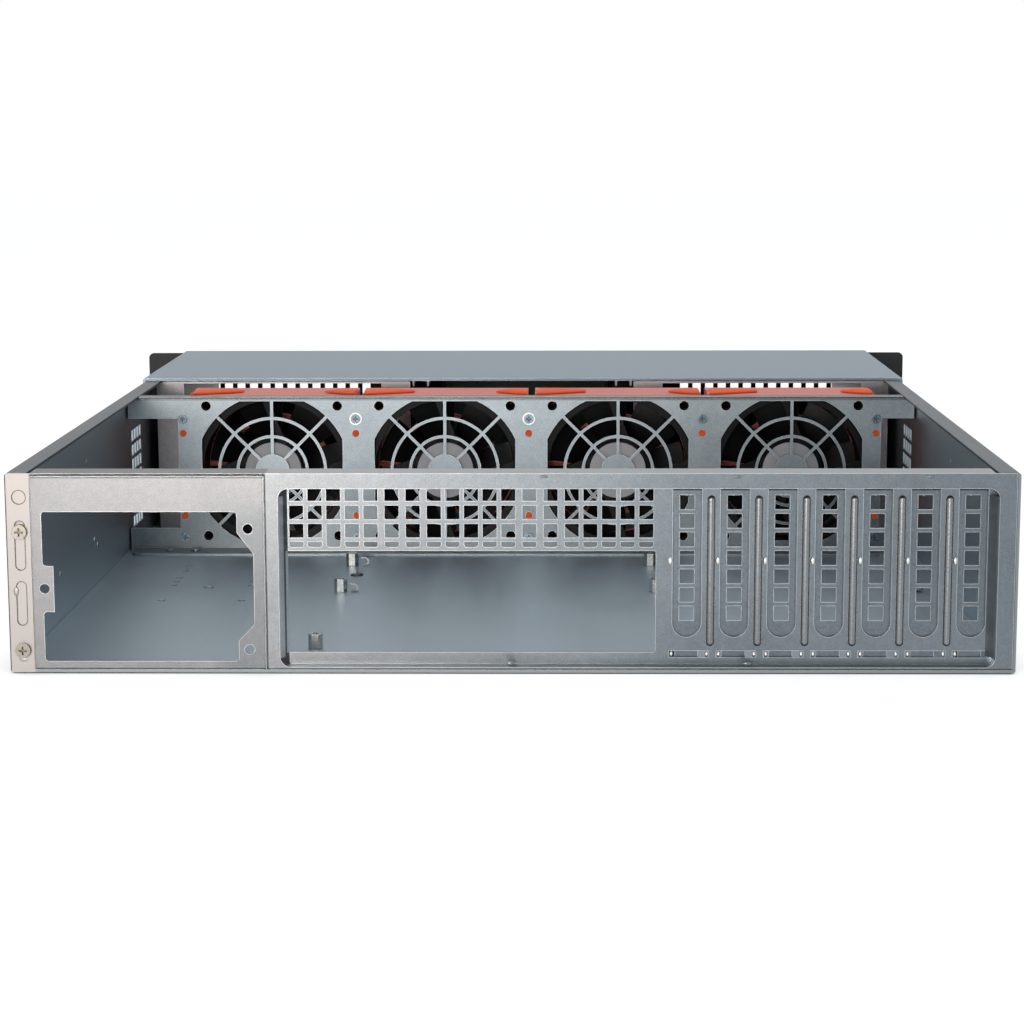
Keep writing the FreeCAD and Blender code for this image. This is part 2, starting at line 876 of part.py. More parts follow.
bracket_holes = tray.draw("XY")
bracket_rows = [case.bracket_row_rear, case.bracket_row_one, case.bracket_row_two]
for bracket_row in bracket_rows:
    bracket_holes.circle(case.bracket_column_two, bracket_row, case.bracket_hole)
for bracket_row in bracket_rows + [case.bracket_row_three, case.bracket_row_four, case.bracket_row_front]:
    bracket_holes.circle(case.bracket_column_one, bracket_row, case.bracket_hole)
bracket_holes.circle(case.bracket_column_middle, case.bracket_row_large, case.bracket_hole_large)
tray.cut(bracket_holes, case.steel)
vent = tray.cut(tray.draw("YZ", -half_width).rectangle(
    case.side_vent_start, case.side_vent_base,
    case.side_vent_start + case.vent_hole, case.side_vent_base + case.vent_hole), case.body_width)
tray.repeat([vent], tray.line("Y", case.side_vent_columns, case.vent_step),
            tray.line("Z", case.side_vent_rows, case.vent_step))

# Rear panel: a rim with a stamped recess that holds the vents, the aperture and the slots.
panel = Piece("rear_panel", y=rear)
panel.pad(panel.draw("XZ").rectangle(rim_left, rim_base, rim_right, rim_top), case.steel)
panel.pad(panel.draw("XZ").rectangle(
    recess_left - case.steel, rim_base, recess_right + case.steel, recess_top + case.steel), recess_back)
panel.cut(panel.draw("XZ").rectangle(recess_left, recess_base, recess_right, recess_top), case.recess_depth)
panel.fillet(case.rim_corner, "Y", [
    (recess_left, recess_base), (recess_right, recess_base),
    (recess_left, recess_top), (recess_right, recess_top),
])
panel.fillet(case.rim_corner + case.steel, "Y", [
    (recess_left - case.steel, recess_top + case.steel), (recess_right + case.steel, recess_top + case.steel),
])
panel.pad(panel.draw("XY", recess_base).outline([
    (recess_left, 0), (recess_left + case.slope_width, case.recess_depth), (recess_left, case.recess_depth),
]), recess_top - recess_base)
panel.pad(panel.draw("XY", flange_under).rectangle(-flange_half, 0, flange_half, case.top_flange), case.steel)
panel.pad(panel.draw("XY", rim_base).rectangle(
    rim_left, 0, rim_left + case.steel, case.plate_flange), flange_under - rim_base)
panel.pad(panel.draw("XY", rim_base).rectangle(
    rim_right - case.steel, 0, rim_right, case.side_flange), flange_under - rim_base)
panel.cut(panel.draw("XZ").rectangle(
    case.io_left, case.io_base, case.io_left + case.io_width, case.io_base + case.io_height), recess_back)
panel.fillet(case.io_corner, "Y", [
    (case.io_left + case.io_width, case.io_base),
    (case.io_left + case.io_width, case.io_base + case.io_height),
])

slot = panel.cut(panel.draw("XZ", case.recess_depth).arch(
    slot_x, recess_top, case.slot_foot, case.slot_width), case.steel)
foot = panel.cut(panel.draw("XZ", case.recess_depth).rectangle(
    slot_x + case.foot_shift - case.foot_width / 2, case.foot_base,
    slot_x + case.foot_shift + case.foot_width / 2, case.foot_base + case.foot_height), case.steel)
panel.repeat([slot, foot], panel.line("X", case.slot_count, case.slot_pitch))
rib = panel.pad(panel.draw("XY", case.rib_base).arch(
    slot_x + case.slot_pitch / 2, case.recess_depth + case.steel / 2,
    case.recess_depth - case.rib_radius, case.rib_radius * 2), case.rib_length)
panel.repeat([rib], panel.line("X", case.slot_count - 1, case.slot_pitch))

# Nineteen vent columns: three blocks of five, with two more widely spaced columns between blocks.
vent_left = recess_left + case.vent_inset
vent_base = recess_top - case.vent_top_gap - case.vent_hole - case.vent_row_step * 2
vent_block = case.vent_step * 4 + case.vent_wide_step * 3
wide_left = vent_left + case.vent_step * 4 + case.vent_wide_step
vent_face = case.recess_depth - case.seam
vent_depth = case.steel + case.seam * 2
vents = []


def round_bottomed(left, bottom, top):
    """A vent whose lower corners are rounded, from its left side and its two levels."""
    radius = case.dash_height / 2
    width = case.vent_hole
    return joined([
        rod(left + radius, vent_face, bottom + radius, radius, vent_depth),
        rod(left + width - radius, vent_face, bottom + radius, radius, vent_depth),
        block(left + radius, vent_face, bottom, width - radius * 2, vent_depth, radius),
        block(left, vent_face, bottom + radius, width, vent_depth, top - bottom - radius),
    ])


for left, number, step, blocks in ((vent_left, 5, case.vent_step, 3), (wide_left, 2, case.vent_wide_step, 2)):
    for index in range(number * blocks):
        column = left + step * (index % number) + vent_block * (index // number)
        for row in range(3):
            vents.append(block(column, vent_face, vent_base + case.vent_row_step * row,
                               case.vent_hole, vent_depth, case.vent_hole))
        if (number, index) == (5, 2):
            vents[-3] = round_bottomed(column, case.dash_base, vent_base + case.vent_hole)
        else:
            vents.append(round_bottomed(column, case.dash_base, case.dash_base + case.dash_height))
punch(panel, vents, "rear_panel")

# Power supply plate: it hooks behind the strip and stands beside the rear panel.
plate = Piece("psu_plate", y=rear)
wing_face = case.steel + case.seat_gap
plate.pad(plate.draw("XY", rim_base).outline([
    (plate_left, 0), (plate_right, 0),
    (plate_right, case.plate_flange), (plate_right - case.steel, case.plate_flange),
    (plate_right - case.steel, case.steel), (plate_left + case.steel, case.steel),
    (plate_left + case.steel, wing_face + case.steel), (plate_left - case.plate_wing, wing_face + case.steel),
    (plate_left - case.plate_wing, wing_face), (plate_left, wing_face),
]), plate_top - rim_base)
plate.pad(plate.draw("XY", rim_base).rectangle(
    plate_left + case.steel * 2, 0, plate_right, case.plate_flange), case.steel)
window_left = plate_left + case.window_left
window_right = plate_right - case.window_right
window_wide = plate_right - case.window_wide_right
plate.cut(plate.draw("XZ").outline([
    (window_left, case.window_base), (window_right, case.window_base),
    (window_right, case.ear_low_start), (window_wide, case.ear_low_end),
    (window_wide, case.ear_high_start), (window_right, case.ear_high_end),
    (window_right, case.window_top), (window_left, case.window_top),
    (window_left, case.window_tab_top), (window_left + case.window_tab, case.window_tab_top),
    (window_left + case.window_tab, case.window_tab_base), (window_left, case.window_tab_base),
]), case.steel)
plate.fillet(case.window_corner, "Y", [
    (window_left, case.window_base), (window_right, case.window_base),
    (window_right, case.window_top), (window_left, case.window_top),
    (window_left, case.window_tab_top), (window_left, case.window_tab_base),
])
supply_x = plate_right - case.supply_hole_inset
supply_holes = plate.draw("XZ")
supply_holes.circle(supply_x, case.supply_hole_low, case.supply_hole)
supply_holes.circle(supply_x, case.supply_hole_high, case.supply_hole)
supply_holes.circle(plate_left + case.supply_hole_side_inset, case.supply_hole_side, case.supply_hole)
plate.cut(supply_holes, case.steel)
wing_holes = plate.draw("XZ", wing_face)
for height in strip_screws:
    wing_holes.circle(strip_screw_x, height, case.pan_shank + case.screw_clearance)
plate.cut(wing_holes, case.steel)

strip_fasteners = Piece("psu_plate_screws", y=rear)
add_screws(strip_fasteners, "XZ", 0, (strip_screw_x, case.strip_screw_low),
           case.pan_head, case.pan_rise, case.pan_shank, case.pan_reach,
           [("Z", 2, case.strip_screw_high - case.strip_screw_low)])

# Slot covers, hung from a shelf inside the rear panel.
cover = Piece("slot_cover_1", x=slot_x, y=rear + cover_y)
half = case.cover_width / 2
tongue = case.cover_tongue / 2
cover.pad(cover.draw("XZ").outline([
    (-tongue, case.cover_base), (tongue, case.cover_base),
    (tongue, case.cover_taper_base), (half, case.cover_taper_top),
    (half, cover_top), (-half, cover_top),
    (-half, case.cover_taper_top), (-tongue, case.cover_taper_base),
]), case.cover_steel)
cover.pad(cover.draw("XY", shelf_top).rectangle(-half, 0, half, case.cover_tab), case.cover_steel)
cover.fillet(case.cover_bend, "X", [(0, cover_top)])
hole = cover.cut(cover.draw("XZ").rectangle(
    -case.cover_hole / 2, case.cover_hole_base,
    case.cover_hole / 2, case.cover_hole_base + case.cover_hole), case.cover_steel)
cover.repeat([hole], cover.line("Z", case.cover_hole_count, case.cover_hole_step))
cover.cut(cover.draw("XY", shelf_top).circle(0, cover_screw_y - cover_y, screw_hole), case.cover_steel)
label_copies(cover, [f"slot_cover_{number}" for number in range(2, count(case.slot_count) + 1)],
             case.slot_pitch)

shelf = Piece("slot_shelf", y=rear)
shelf_left = slot_x - case.shelf_side
shelf_right = rim_right - case.steel - case.seat_gap
shelf_front = shelf_y + case.shelf_depth
shelf_under = shelf_top - case.shelf_steel
shelf.pad(shelf.draw("XY", shelf_under).rectangle(
    shelf_left, shelf_y, shelf_right, shelf_front), case.shelf_steel)
shelf.pad(shelf.draw("XY", shelf_under).rectangle(
    shelf_left, shelf_front - case.shelf_steel, shelf_right, shelf_front), case.shelf_rise + case.shelf_steel)
shelf.pad(shelf.draw("XY", shelf_top).rectangle(
    shelf_left, recess_back, shelf_left + case.shelf_steel, shelf_front), case.shelf_drop, back=True)
shelf_hole = shelf.cut(shelf.draw("XY", shelf_under).circle(slot_x, cover_screw_y, screw_hole), case.shelf_steel)
shelf.repeat([shelf_hole], shelf.line("X", case.slot_count, case.slot_pitch))

slot_fasteners = Piece("slot_cover_screws", y=rear)
add_screws(slot_fasteners, "XY", cover_top, (slot_x, cover_screw_y),
           case.small_screw_head, case.small_screw_rise, case.small_screw_shank,
           case.small_screw_reach, [("X", case.slot_count, case.slot_pitch)], back=True)

# Mainboard standoffs on the floor.
standoffs = Piece("mainboard_standoffs", y=rear)
flat = case.standoff_flats / 2
point = case.standoff_flats / math.sqrt(3)
for board_x, board_y in board_places:
    standoffs.pad(standoffs.draw("XY", case.steel).outline([
        (board_x - point, board_y), (board_x - point / 2, board_y - flat),
        (board_x + point / 2, board_y - flat), (board_x + point, board_y),
        (board_x + point / 2, board_y + flat), (board_x - point / 2, board_y + flat),
    ]), case.standoff_height)
    standoffs.cut(standoffs.draw("XY", case.steel + case.standoff_height).circle(
        board_x, board_y, case.standoff_hole), case.standoff_hole_depth, back=True)


def from_fan(across, height):
    """A place on the fan wall, measured from the axis of the first fan."""
    return across - first_fan, height - fan_height


# Fan wall: the origin is on the axis of the first fan.
wall = Piece("fan_wall", x=first_fan, y=rear + wall_y, z=fan_height)
notch_left = rail_places[0] - case.rail_wing - case.rail_half
notch_right = rail_places[-1] + case.rail_half
wall.pad(wall.draw("XZ").outline([
    from_fan(-wall_half, rim_base), from_fan(wall_half, rim_base),
    from_fan(wall_half, case.notch_base), from_fan(notch_right, case.notch_base),
    from_fan(notch_right, case.notch_top), from_fan(wall_half, case.notch_top),
    from_fan(wall_half, wall_end_top), from_fan(lip_half, wall_end_top),
    from_fan(lip_half, wall_top), from_fan(-lip_half, wall_top),
    from_fan(-lip_half, wall_end_top), from_fan(-wall_half, wall_end_top),
    from_fan(-wall_half, case.notch_top), from_fan(notch_left, case.notch_top),
    from_fan(notch_left, case.notch_base), from_fan(-wall_half, case.notch_base),
]), case.steel)
wall.pad(wall.draw("XY", wall_top - fan_height).rectangle(
    -lip_half - first_fan, -case.lip_depth, lip_half - first_fan, case.steel), case.steel, back=True)
foot_half = wall_half - case.foot_flange_inset
wall.pad(wall.draw("XY", rim_base - fan_height).rectangle(
    -foot_half - first_fan, -case.foot_flange, foot_half - first_fan, case.steel), case.steel)
wall.fillet(case.foot_corner, "Z", [
    (-foot_half - first_fan, -case.foot_flange), (foot_half - first_fan, -case.foot_flange),
])
for base, top in ((rim_base, case.notch_base), (case.notch_top, wall_end_top)):
    ends = wall.draw("XZ")
    ends.rectangle(*from_fan(-wall_half, base), *from_fan(case.steel - wall_half, top))
    ends.rectangle(*from_fan(wall_half - case.steel, base), *from_fan(wall_half, top))
    wall.pad(ends, case.end_flange)

corner = case.fan_hole_pitch / 2
holes = wall.draw("XZ")
for side in (-1, 1):
    for level in (-1, 1):
        holes.circle(corner * side, corner * level, case.fan_hole)
wall.repeat([wall.cut(holes, case.steel)], wall.line("X", case.fan_count, case.fan_pitch))
for radius, heights in ((case.peg_radius + case.screw_clearance, (case.peg_low, case.peg_high)),
                        (screw_hole, (case.guide_screw_low, case.guide_screw_high))):
    pair = wall.draw("XZ")
    for height in heights:
        pair.circle(*from_fan(rail_places[0] - case.peg_shift, height), radius)
    wall.repeat([wall.cut(pair, case.steel)], wall.line("X", case.fan_count + 1, case.fan_pitch))

# Each fan's guard is what stays between the windows: a disc, two rings and eight spokes.
thickness = case.steel + case.seam * 2
face = wall_y - case.seam
opening = doc.addObject("Part::Common", "Opening")
opening.Base = rod(first_fan, face, fan_height, case.fan_opening, thickness)
opening.Tool = block(first_fan - case.fan_opening_half, face, fan_height - case.fan_opening_half,
                     case.fan_opening_half * 2, thickness, case.fan_opening_half * 2)
wire = case.guard_wire / 2
guard = [rod(first_fan, face, fan_height, case.guard_disc, thickness)]
for radius in (case.guard_ring_outer, case.guard_ring_inner):
    guard.append(without(rod(first_fan, face, fan_height, radius + wire, thickness),
                         rod(first_fan, face, fan_height, radius - wire, thickness)))
for turn in range(count(case.guard_spokes) // 2):
    bar = block(-case.fan_opening - wire, -rear, -wire, case.fan_opening * 2 + wire * 2, thickness, wire * 2)
    spoke = group([bar])
    spoke.Placement.Rotation = FreeCAD.Rotation(Vector(0, 1, 0), 360 * turn / case.guard_spokes.value)
    bind(spoke, "Placement.Base.x", first_fan)
    bind(spoke, "Placement.Base.y", rear + face)
    bind(spoke, "Placement.Base.z", fan_height)
    guard.append(spoke)
windows = without(opening, joined(guard))
punch(wall, copies(windows, count(case.fan_count), case.fan_pitch), "fan_wall")

rivets = Piece("fan_wall_rivets", y=rear)
rivet_heads = rivets.draw("XY", rim_base + case.steel)
for side in (-1, 1):
    for place in (case.rivet_outer, case.rivet_outer - case.rivet_pair, case.rivet_outer / 3):
        rivet_heads.circle(place * side, wall_y - case.rivet_inset, case.rivet_radius)
rivets.pad(rivet_heads, case.rivet_rise)

# Guide rails between the fan cages, pegged and screwed to the fan wall.
guide = Piece("fan_guide_1", x=rail_places[0], y=rear + wall_y + case.steel)
guide.pad(guide.draw("XZ").rectangle(
    -case.rail_half - case.rail_wing, case.rail_base, case.rail_half, case.rail_top), case.rail_plate)
guide.pad(guide.draw("XZ").rectangle(
    -case.rail_half, case.rail_base, case.rail_half, case.rail_top), case.rail_reach)
pegs = guide.draw("XZ")
bores = guide.draw("XZ")
for height in (case.peg_low, case.peg_high):
    pegs.circle(-case.peg_shift, height, case.peg_radius)
for height in (case.guide_screw_low, case.guide_screw_high):
    bores.circle(-case.peg_shift, height, screw_hole)
guide.pad(pegs, case.steel + case.peg_rise, back=True)
guide.cut(bores, case.guide_screw_reach - case.steel + case.seat_gap)
label_copies(guide, [f"fan_guide_{number}" for number in range(2, count(case.fan_count) + 2)],
             case.fan_pitch)

guide_fasteners = Piece("fan_guide_screws", y=rear)
add_screws(guide_fasteners, "XZ", wall_y, (rail_places[0] - case.peg_shift, case.guide_screw_low),
           case.guide_screw_head, case.guide_screw_rise, case.guide_screw_shank, case.guide_screw_reach,
           [("X", case.fan_count + 1, case.fan_pitch),
            ("Z", 2, case.guide_screw_high - case.guide_screw_low)])

# Fan cages with their fans; the first cage's origin is on its fan's axis at its rear face.
fan_half = case.fan_side / 2
pocket = fan_half + case.fan_play
cage_floor = -pocket - case.cage_floor
cage_roof = pocket + case.cage_roof
pocket_depth = case.fan_depth + case.fan_play * 3
web_front = pocket_depth + case.cage_web
cage_wire = case.cage_guard_wire / 2
cage = Piece("fan_cage_1", x=first_fan, y=rear + cage_y, z=fan_height)
cage.pad(cage.draw("XZ").rectangle(-cage_half, cage_floor, cage_half, cage_roof), case.cage_depth)
cage.cut(cage.draw("XZ").rectangle(-pocket, -pocket, pocket, pocket), pocket_depth)
margin = cage_half - case.cage_front_margin
cage.cut(cage.draw("XZ", web_front).rectangle(-margin, -pocket, margin, pocket),
         case.cage_depth - web_front)
cage.cut(cage.draw("XZ", pocket_depth).circle(0, 0, case.cage_window), case.cage_web)
cage.pad(cage.draw("XZ", pocket_depth).circle(0, 0, case.cage_guard_disc), case.cage_web)
cage.pad(cage.draw("XZ", pocket_depth).circle(0, 0, case.cage_guard_ring + cage_wire).circle(
    0, 0, case.cage_guard_ring - cage_wire), case.cage_web)
bar = cage.pad(cage.draw("XZ", pocket_depth).rectangle(
    case.cage_guard_disc - cage_wire, -cage_wire, case.cage_window + cage_wire, cage_wire), case.cage_web)
cage.repeat([bar], cage.ring("Y", case.cage_guard_spokes))
tabs = cage.draw("XY", cage_roof)
left_end = case.tab_left_length - cage_half
left_middle = case.tab_left_start + case.tab_width / 2
tabs.outline([
    (-cage_half, case.tab_left_start), (left_end - case.tab_slope, case.tab_left_start),
    (left_end, left_middle), (left_end - case.tab_slope, case.tab_left_start + case.tab_width),
    (-cage_half, case.tab_left_start + case.tab_width),
])
tabs.rectangle(cage_half - case.tab_right_length, case.tab_right_start,
               cage_half - case.cage_clearance, case.tab_right_start + case.tab_width)
cage.pad(tabs, case.tab_rise)

fan = Piece("fan_frame_1", x=first_fan, y=rear + cage_y + case.fan_play, z=fan_height)
fan.pad(fan.draw("XZ").rectangle(-fan_half, -fan_half, fan_half, fan_half), case.fan_depth)
fan.fillet(case.fan_corner, "Y", [
    (-fan_half, -fan_half), (fan_half, -fan_half), (-fan_half, fan_half), (fan_half, fan_half),
])
fan.cut(fan.draw("XZ").circle(0, 0, case.fan_bore), case.fan_depth)
mounting = fan.draw("XZ")
for side in (-1, 1):
    for level in (-1, 1):
        mounting.circle(corner * side, corner * level, case.fan_screw_hole)
fan.cut(mounting, case.fan_depth)
relief = fan.draw("XZ", case.fan_flange)
outside = case.fan_waist + case.fan_play
relief.rectangle(-outside, -outside, outside, outside).circle(0, 0, case.fan_waist)
fan.cut(relief, case.fan_depth - case.fan_flange * 2)
fan.pad(fan.draw("XZ").circle(0, 0, case.motor_radius), case.motor_plate)
strut = fan.pad(fan.draw("XZ").outline([
    (case.motor_radius * 0.8, -case.motor_radius * 0.5),
    (case.fan_bore + case.fan_play * 2, case.strut_width * 0.6),
    (case.fan_bore, case.strut_width * 1.7),
    (case.motor_radius * 0.75, case.strut_width - case.motor_radius * 0.45),
]), case.motor_plate)
fan.repeat([strut], fan.ring("Y", 4))
fan.pad(fan.draw("XZ", case.motor_plate).circle(0, 0, case.bearing_radius), case.bearing_length)
fan.cut(fan.draw("XZ", case.motor_skin).circle(0, 0, case.shaft_radius + case.shaft_clearance),
        case.motor_plate + case.bearing_length - case.motor_skin)

rotor_y = cage_y + case.fan_play + case.motor_plate + case.rotor_gap
rotor = Piece("fan_rotor_1", x=first_fan, y=rear + rotor_y, z=fan_height)
inside = case.rotor_length - case.rotor_wall
rotor.pad(rotor.draw("XZ").circle(0, 0, case.rotor_radius), case.rotor_length)
rotor.cut(rotor.draw("XZ").circle(0, 0, case.rotor_radius - case.rotor_wall), inside)
rotor.pad(rotor.draw("XZ", -case.shaft_tail).circle(0, 0, case.shaft_radius),
          case.shaft_tail + inside + case.rotor_wall / 2)

# Each blade is steep and short in the hub, and flatter and longer towards its tip, which is turned round.
sections = []
for share in (0, 0.5, 1):
    half = (case.blade_root_chord + (case.blade_tip_chord - case.blade_root_chord) * share) / 2
    pitch = case.blade_root_rise + (case.blade_tip_rise - case.blade_root_rise) * share
    level = case.blade_root + (case.blade_tip - case.blade_root) * share
    middle = case.rotor_length / 2
    sections.append(rotor.draw("YZ", level).foil(
        (middle - pitch / 2, -half), (middle + pitch / 2, half),
        case.blade_edge, case.blade_camber, case.blade_thickness))
rotor.repeat([rotor.loft(sections)], rotor.ring("Y", case.blade_count))
rotor.cut(rotor.draw("XZ").circle(0, 0, case.blade_tip).circle(0, 0, case.blade_tip + case.blade_tip_chord / 2),
          case.rotor_length)
for piece, label in ((cage, "fan_cage"), (fan, "fan_frame"), (rotor, "fan_rotor")):
    label_copies(piece, [f"{label}_{number}" for number in range(2, count(case.fan_count) + 1)],
                 case.fan_pitch)

# Drive cages, left and right, open to the rear.
for side, label in ((-1, "drive_cage_left"), (1, "drive_cage_right")):
    cage = Piece(label, y=rear)
    length = drive_front - drive_rear
    drive_top = case.wall_height - case.drive_top_gap
    under = drive_top - case.drive_steel
    sheet_out = drive_outer_side + case.drive_steel
    sheet_in = drive_inner_side - case.drive_steel
    foot_top = rim_base + case.drive_steel
    cage.pad(cage.draw("XZ", drive_rear).outline([
        (drive_inner_edge * side, under), (sheet_in * side, under),
        (sheet_in * side, foot_top), ((sheet_in - case.drive_foot) * side, foot_top),
        ((sheet_in - case.drive_foot) * side, rim_base), (drive_inner_side * side, rim_base),
        (drive_inner_side * side, under), (drive_outer_side * side, under),
        (drive_outer_side * side, rim_base), ((sheet_out + case.drive_foot) * side, rim_base),
        ((sheet_out + case.drive_foot) * side, foot_top), (sheet_out * side, foot_top),
        (sheet_out * side, under), (lip_half * side, under),
        (lip_half * side, drive_top), (drive_inner_edge * side, drive_top),
    ]), length)
    flanges = cage.draw("XZ", drive_rear)
    flanges.rectangle(drive_inner_edge * side, rim_base, drive_inner_side * side, under)
    flanges.rectangle(drive_outer_side * side, rim_base, drive_outer_edge * side, under)
    cage.pad(flanges, case.drive_steel)
    slots = cage.draw("YZ", sheet_in * side)
    for step in range(3):
        for level in range(2):
            slots.oblong(case.drive_slot_start + case.drive_slot_pitch * step,
                         case.drive_slot_base + case.drive_slot_rise * level,
                         case.drive_slot_length, case.drive_slot_width)
    cage.cut(slots, sheet_out - sheet_in, back=side < 0)

# Front cover section with two braces under it.
lid = Piece("front_cover", y=rear)
skirt_end = lid_top - case.lid_skirt
lid.pad(lid.draw("XZ", case.cover_rear).outline([
    (-lid_outer, skirt_end), (-lid_inner, skirt_end), (-lid_inner, lid_under), (lid_inner, lid_under),
    (lid_inner, skirt_end), (lid_outer, skirt_end), (lid_outer, lid_top), (-lid_outer, lid_top),
]), cover_front - case.cover_rear)
lid.fillet(case.lid_bend, "Y", [(-lid_outer, lid_top), (lid_outer, lid_top)])
skirt_holes = lid.draw("YZ", -lid_outer)
for along, height in cover_screw_places:
    skirt_holes.circle(along, height, screw_hole)
lid.cut(skirt_holes, lid_outer * 2)

for side, label in ((-1, "cover_brace_left"), (1, "cover_brace_right")):
    brace = Piece(label, y=rear)
    near = (brace_outer - case.brace_width) * side
    far = brace_outer * side
    leg = case.brace_steel * side
    low = lid_under - case.brace_drop
    brace_start = case.cover_rear + case.brace_rear_inset
    brace.pad(brace.draw("XZ", brace_start).outline([
        (near, low), (near + leg, low), (near + leg, lid_under - case.brace_steel),
        (far - leg, lid_under - case.brace_steel), (far - leg, low), (far, low),
        (far, lid_under), (near, lid_under),
    ]), cover_front - case.brace_front_inset - brace_start)

cover_fasteners = Piece("cover_screws", y=rear)
panel_fasteners = Piece("front_panel_screws", y=rear)
for side in (-1, 1):
    add_screws(cover_fasteners, "YZ", lid_outer * side, cover_screw_places[0], case.guide_screw_head,
               case.guide_screw_rise, case.guide_screw_shank, case.guide_screw_reach,
               [("Y", 2, case.cover_screw_front - case.cover_screw_rear)], back=side > 0)
    add_screws(panel_fasteners, "YZ", half_width * side, front_screw_places[0], case.guide_screw_head,
               case.guide_screw_rise, case.guide_screw_shank, case.guide_screw_reach,
               [("Z", 2, case.front_screw_high - case.front_screw_low)], back=side > 0)

# Front panel with rack ears, air slots and the control panel's window.
fascia = Piece("front_panel", y=rear)
fascia_top = case.wall_height - case.front_top_gap
ear = case.ear_span / 2
fascia.pad(fascia.draw("XZ", case.case_depth).rectangle(-ear, case.front_base, ear, fascia_top), case.front_steel)
fascia.fillet(case.ear_corner, "Y", [
    (-ear, case.front_base), (ear, case.front_base), (-ear, fascia_top), (ear, fascia_top),
])
flange_outer = inner_half - case.front_flange_gap
flange_inner = flange_outer - case.front_flange_steel
side_flanges = fascia.draw("XY", case.steel + case.front_flange_steel)
for side in (-1, 1):
    side_flanges.rectangle(flange_inner * side, case.case_depth - case.front_flange,
                           flange_outer * side, case.case_depth)
fascia.pad(side_flanges, return_under - case.steel - case.front_flange_steel * 2)
flange_holes = fascia.draw("YZ", -flange_outer)
for along, height in front_screw_places:
    flange_holes.circle(along, height, screw_hole)
fascia.cut(flange_holes, flange_outer * 2)
rack_slots = fascia.draw("XZ", case.case_depth)
for side in (-1, 1):
    for level in (-1, 1):
        rack_slots.oblong(case.rack_slot_span / 2 * side,
                          case.rack_slot_centre + case.rack_slot_rise / 2 * level,
                          case.rack_slot_length, case.rack_slot_width)
fascia.cut(rack_slots, case.front_steel)
fascia.cut(fascia.draw("XZ", case.case_depth).rectangle(
    -control_half, case.control_base, control_half, case.control_base + case.control_height), case.front_steel)
air_slots = []
for column in range(count(case.grille_columns)):
    start = case.grille_start + case.grille_bar_step * column
    for row in range(count(case.grille_rows)):
        for left in (start, -start - case.grille_slot_width):
            air_slots.append(block(left, case.case_depth - case.seam,
                                   case.grille_base + case.grille_row_step * row, case.grille_slot_width,
                                   case.front_steel + case.seam * 2, case.grille_slot_height))
punch(fascia, air_slots, "front_panel")

# Control panel insert with its buttons, lights, ports and circuit board.
control = Piece("control_panel", y=rear)
low = case.control_base
high = low + case.control_height
fit = case.control_fit
lip = case.control_lip
wall_thickness = case.control_wall
control.pad(control.draw("XZ", panel_face).rectangle(
    -control_half - lip, low - lip, control_half + lip, high + lip), case.control_proud)
control.fillet(lip, "Y", [
    (-control_half - lip, low - lip), (control_half + lip, low - lip),
    (-control_half - lip, high + lip), (control_half + lip, high + lip),
])
control.pad(control.draw("XZ", panel_face).rectangle(
    fit - control_half, low + fit, control_half - fit, high - fit), case.control_depth, back=True)
control.cut(control.draw("XZ", panel_face).rectangle(
    -control_inner, low + fit + wall_thickness, control_inner, high - fit - wall_thickness),
    case.control_depth, back=True)
board_half = control_inner - case.board_gap
board_low = low + fit + wall_thickness + case.board_gap
board_high = high - fit - wall_thickness - case.board_gap
posts = control.draw("XZ", board_face)
for side in (-1, 1):
    for height in (board_low + case.board_margin, board_high - case.board_margin):
        posts.circle((board_half - case.board_margin) * side, height, case.board_post)
control.pad(posts, panel_face - board_face)
power_hole = case.power_radius + case.button_play
reset_hole = case.reset_radius + case.button_play
light_places = [case.light_place, case.light_place + case.light_pitch]
port_places = [case.port_place - case.port_pitch / 2, case.port_place + case.port_pitch / 2]
face_holes = control.draw("XZ", panel_face)
face_holes.circle(case.power_place, case.power_height, power_hole)
face_holes.circle(case.power_place, case.reset_height, reset_hole)
for place in light_places:
    face_holes.circle(place, case.light_height, case.light_radius + case.light_play)
port_half = case.port_width / 2
port_rise = case.port_rise / 2
for place in port_places:
    face_holes.rectangle(place - port_half - fit, case.port_height - port_rise - fit,
                         place + port_half + fit, case.port_height + port_rise + fit)
control.cut(face_holes, case.control_proud)

board = Piece("control_board", y=rear)
board.pad(board.draw("XZ", board_face).rectangle(
    -board_half, board_low, board_half, board_high), case.board_thickness, back=True)

for label, height, radius in (("power_button", case.power_height, case.power_radius),
                              ("reset_button", case.reset_height, case.reset_radius)):
    button = Piece(label, x=case.power_place, y=rear, z=height)
    button.pad(button.draw("XZ", button_end).circle(0, 0, radius), case.button_length)
    button.pad(button.draw("XZ", panel_face).circle(0, 0, radius + case.button_collar),
               case.button_collar_thickness, back=True)

lights = Piece("indicator_lights", y=rear)
lamps = lights.draw("XZ", board_face)
for place in light_places:
    lamps.circle(place, case.light_height, case.light_radius)
lights.pad(lamps, control_face - board_face)

ports = Piece("data_ports", y=rear)
port_front = control_face + case.port_proud
shells = ports.draw("XZ", board_face)
sockets = ports.draw("XZ", board_face + case.port_wall * 2)
tongues = ports.draw("XZ", board_face + case.port_wall)
inner_half_width = port_half - case.port_wall
inner_half_rise = port_rise - case.port_wall
for place in port_places:
    shells.rectangle(place - port_half, case.port_height - port_rise,
                     place + port_half, case.port_height + port_rise)
    sockets.rectangle(place - inner_half_width, case.port_height - inner_half_rise,
                      place + inner_half_width, case.port_height + inner_half_rise)
    tongues.rectangle(place - inner_half_width + case.port_wall, case.port_height,
                      place + inner_half_width - case.port_wall, case.port_height + case.port_tongue)
ports.pad(shells, port_front - board_face)
ports.cut(sockets, port_front - board_face)
ports.pad(tongues, port_front - board_face - case.port_wall * 4)

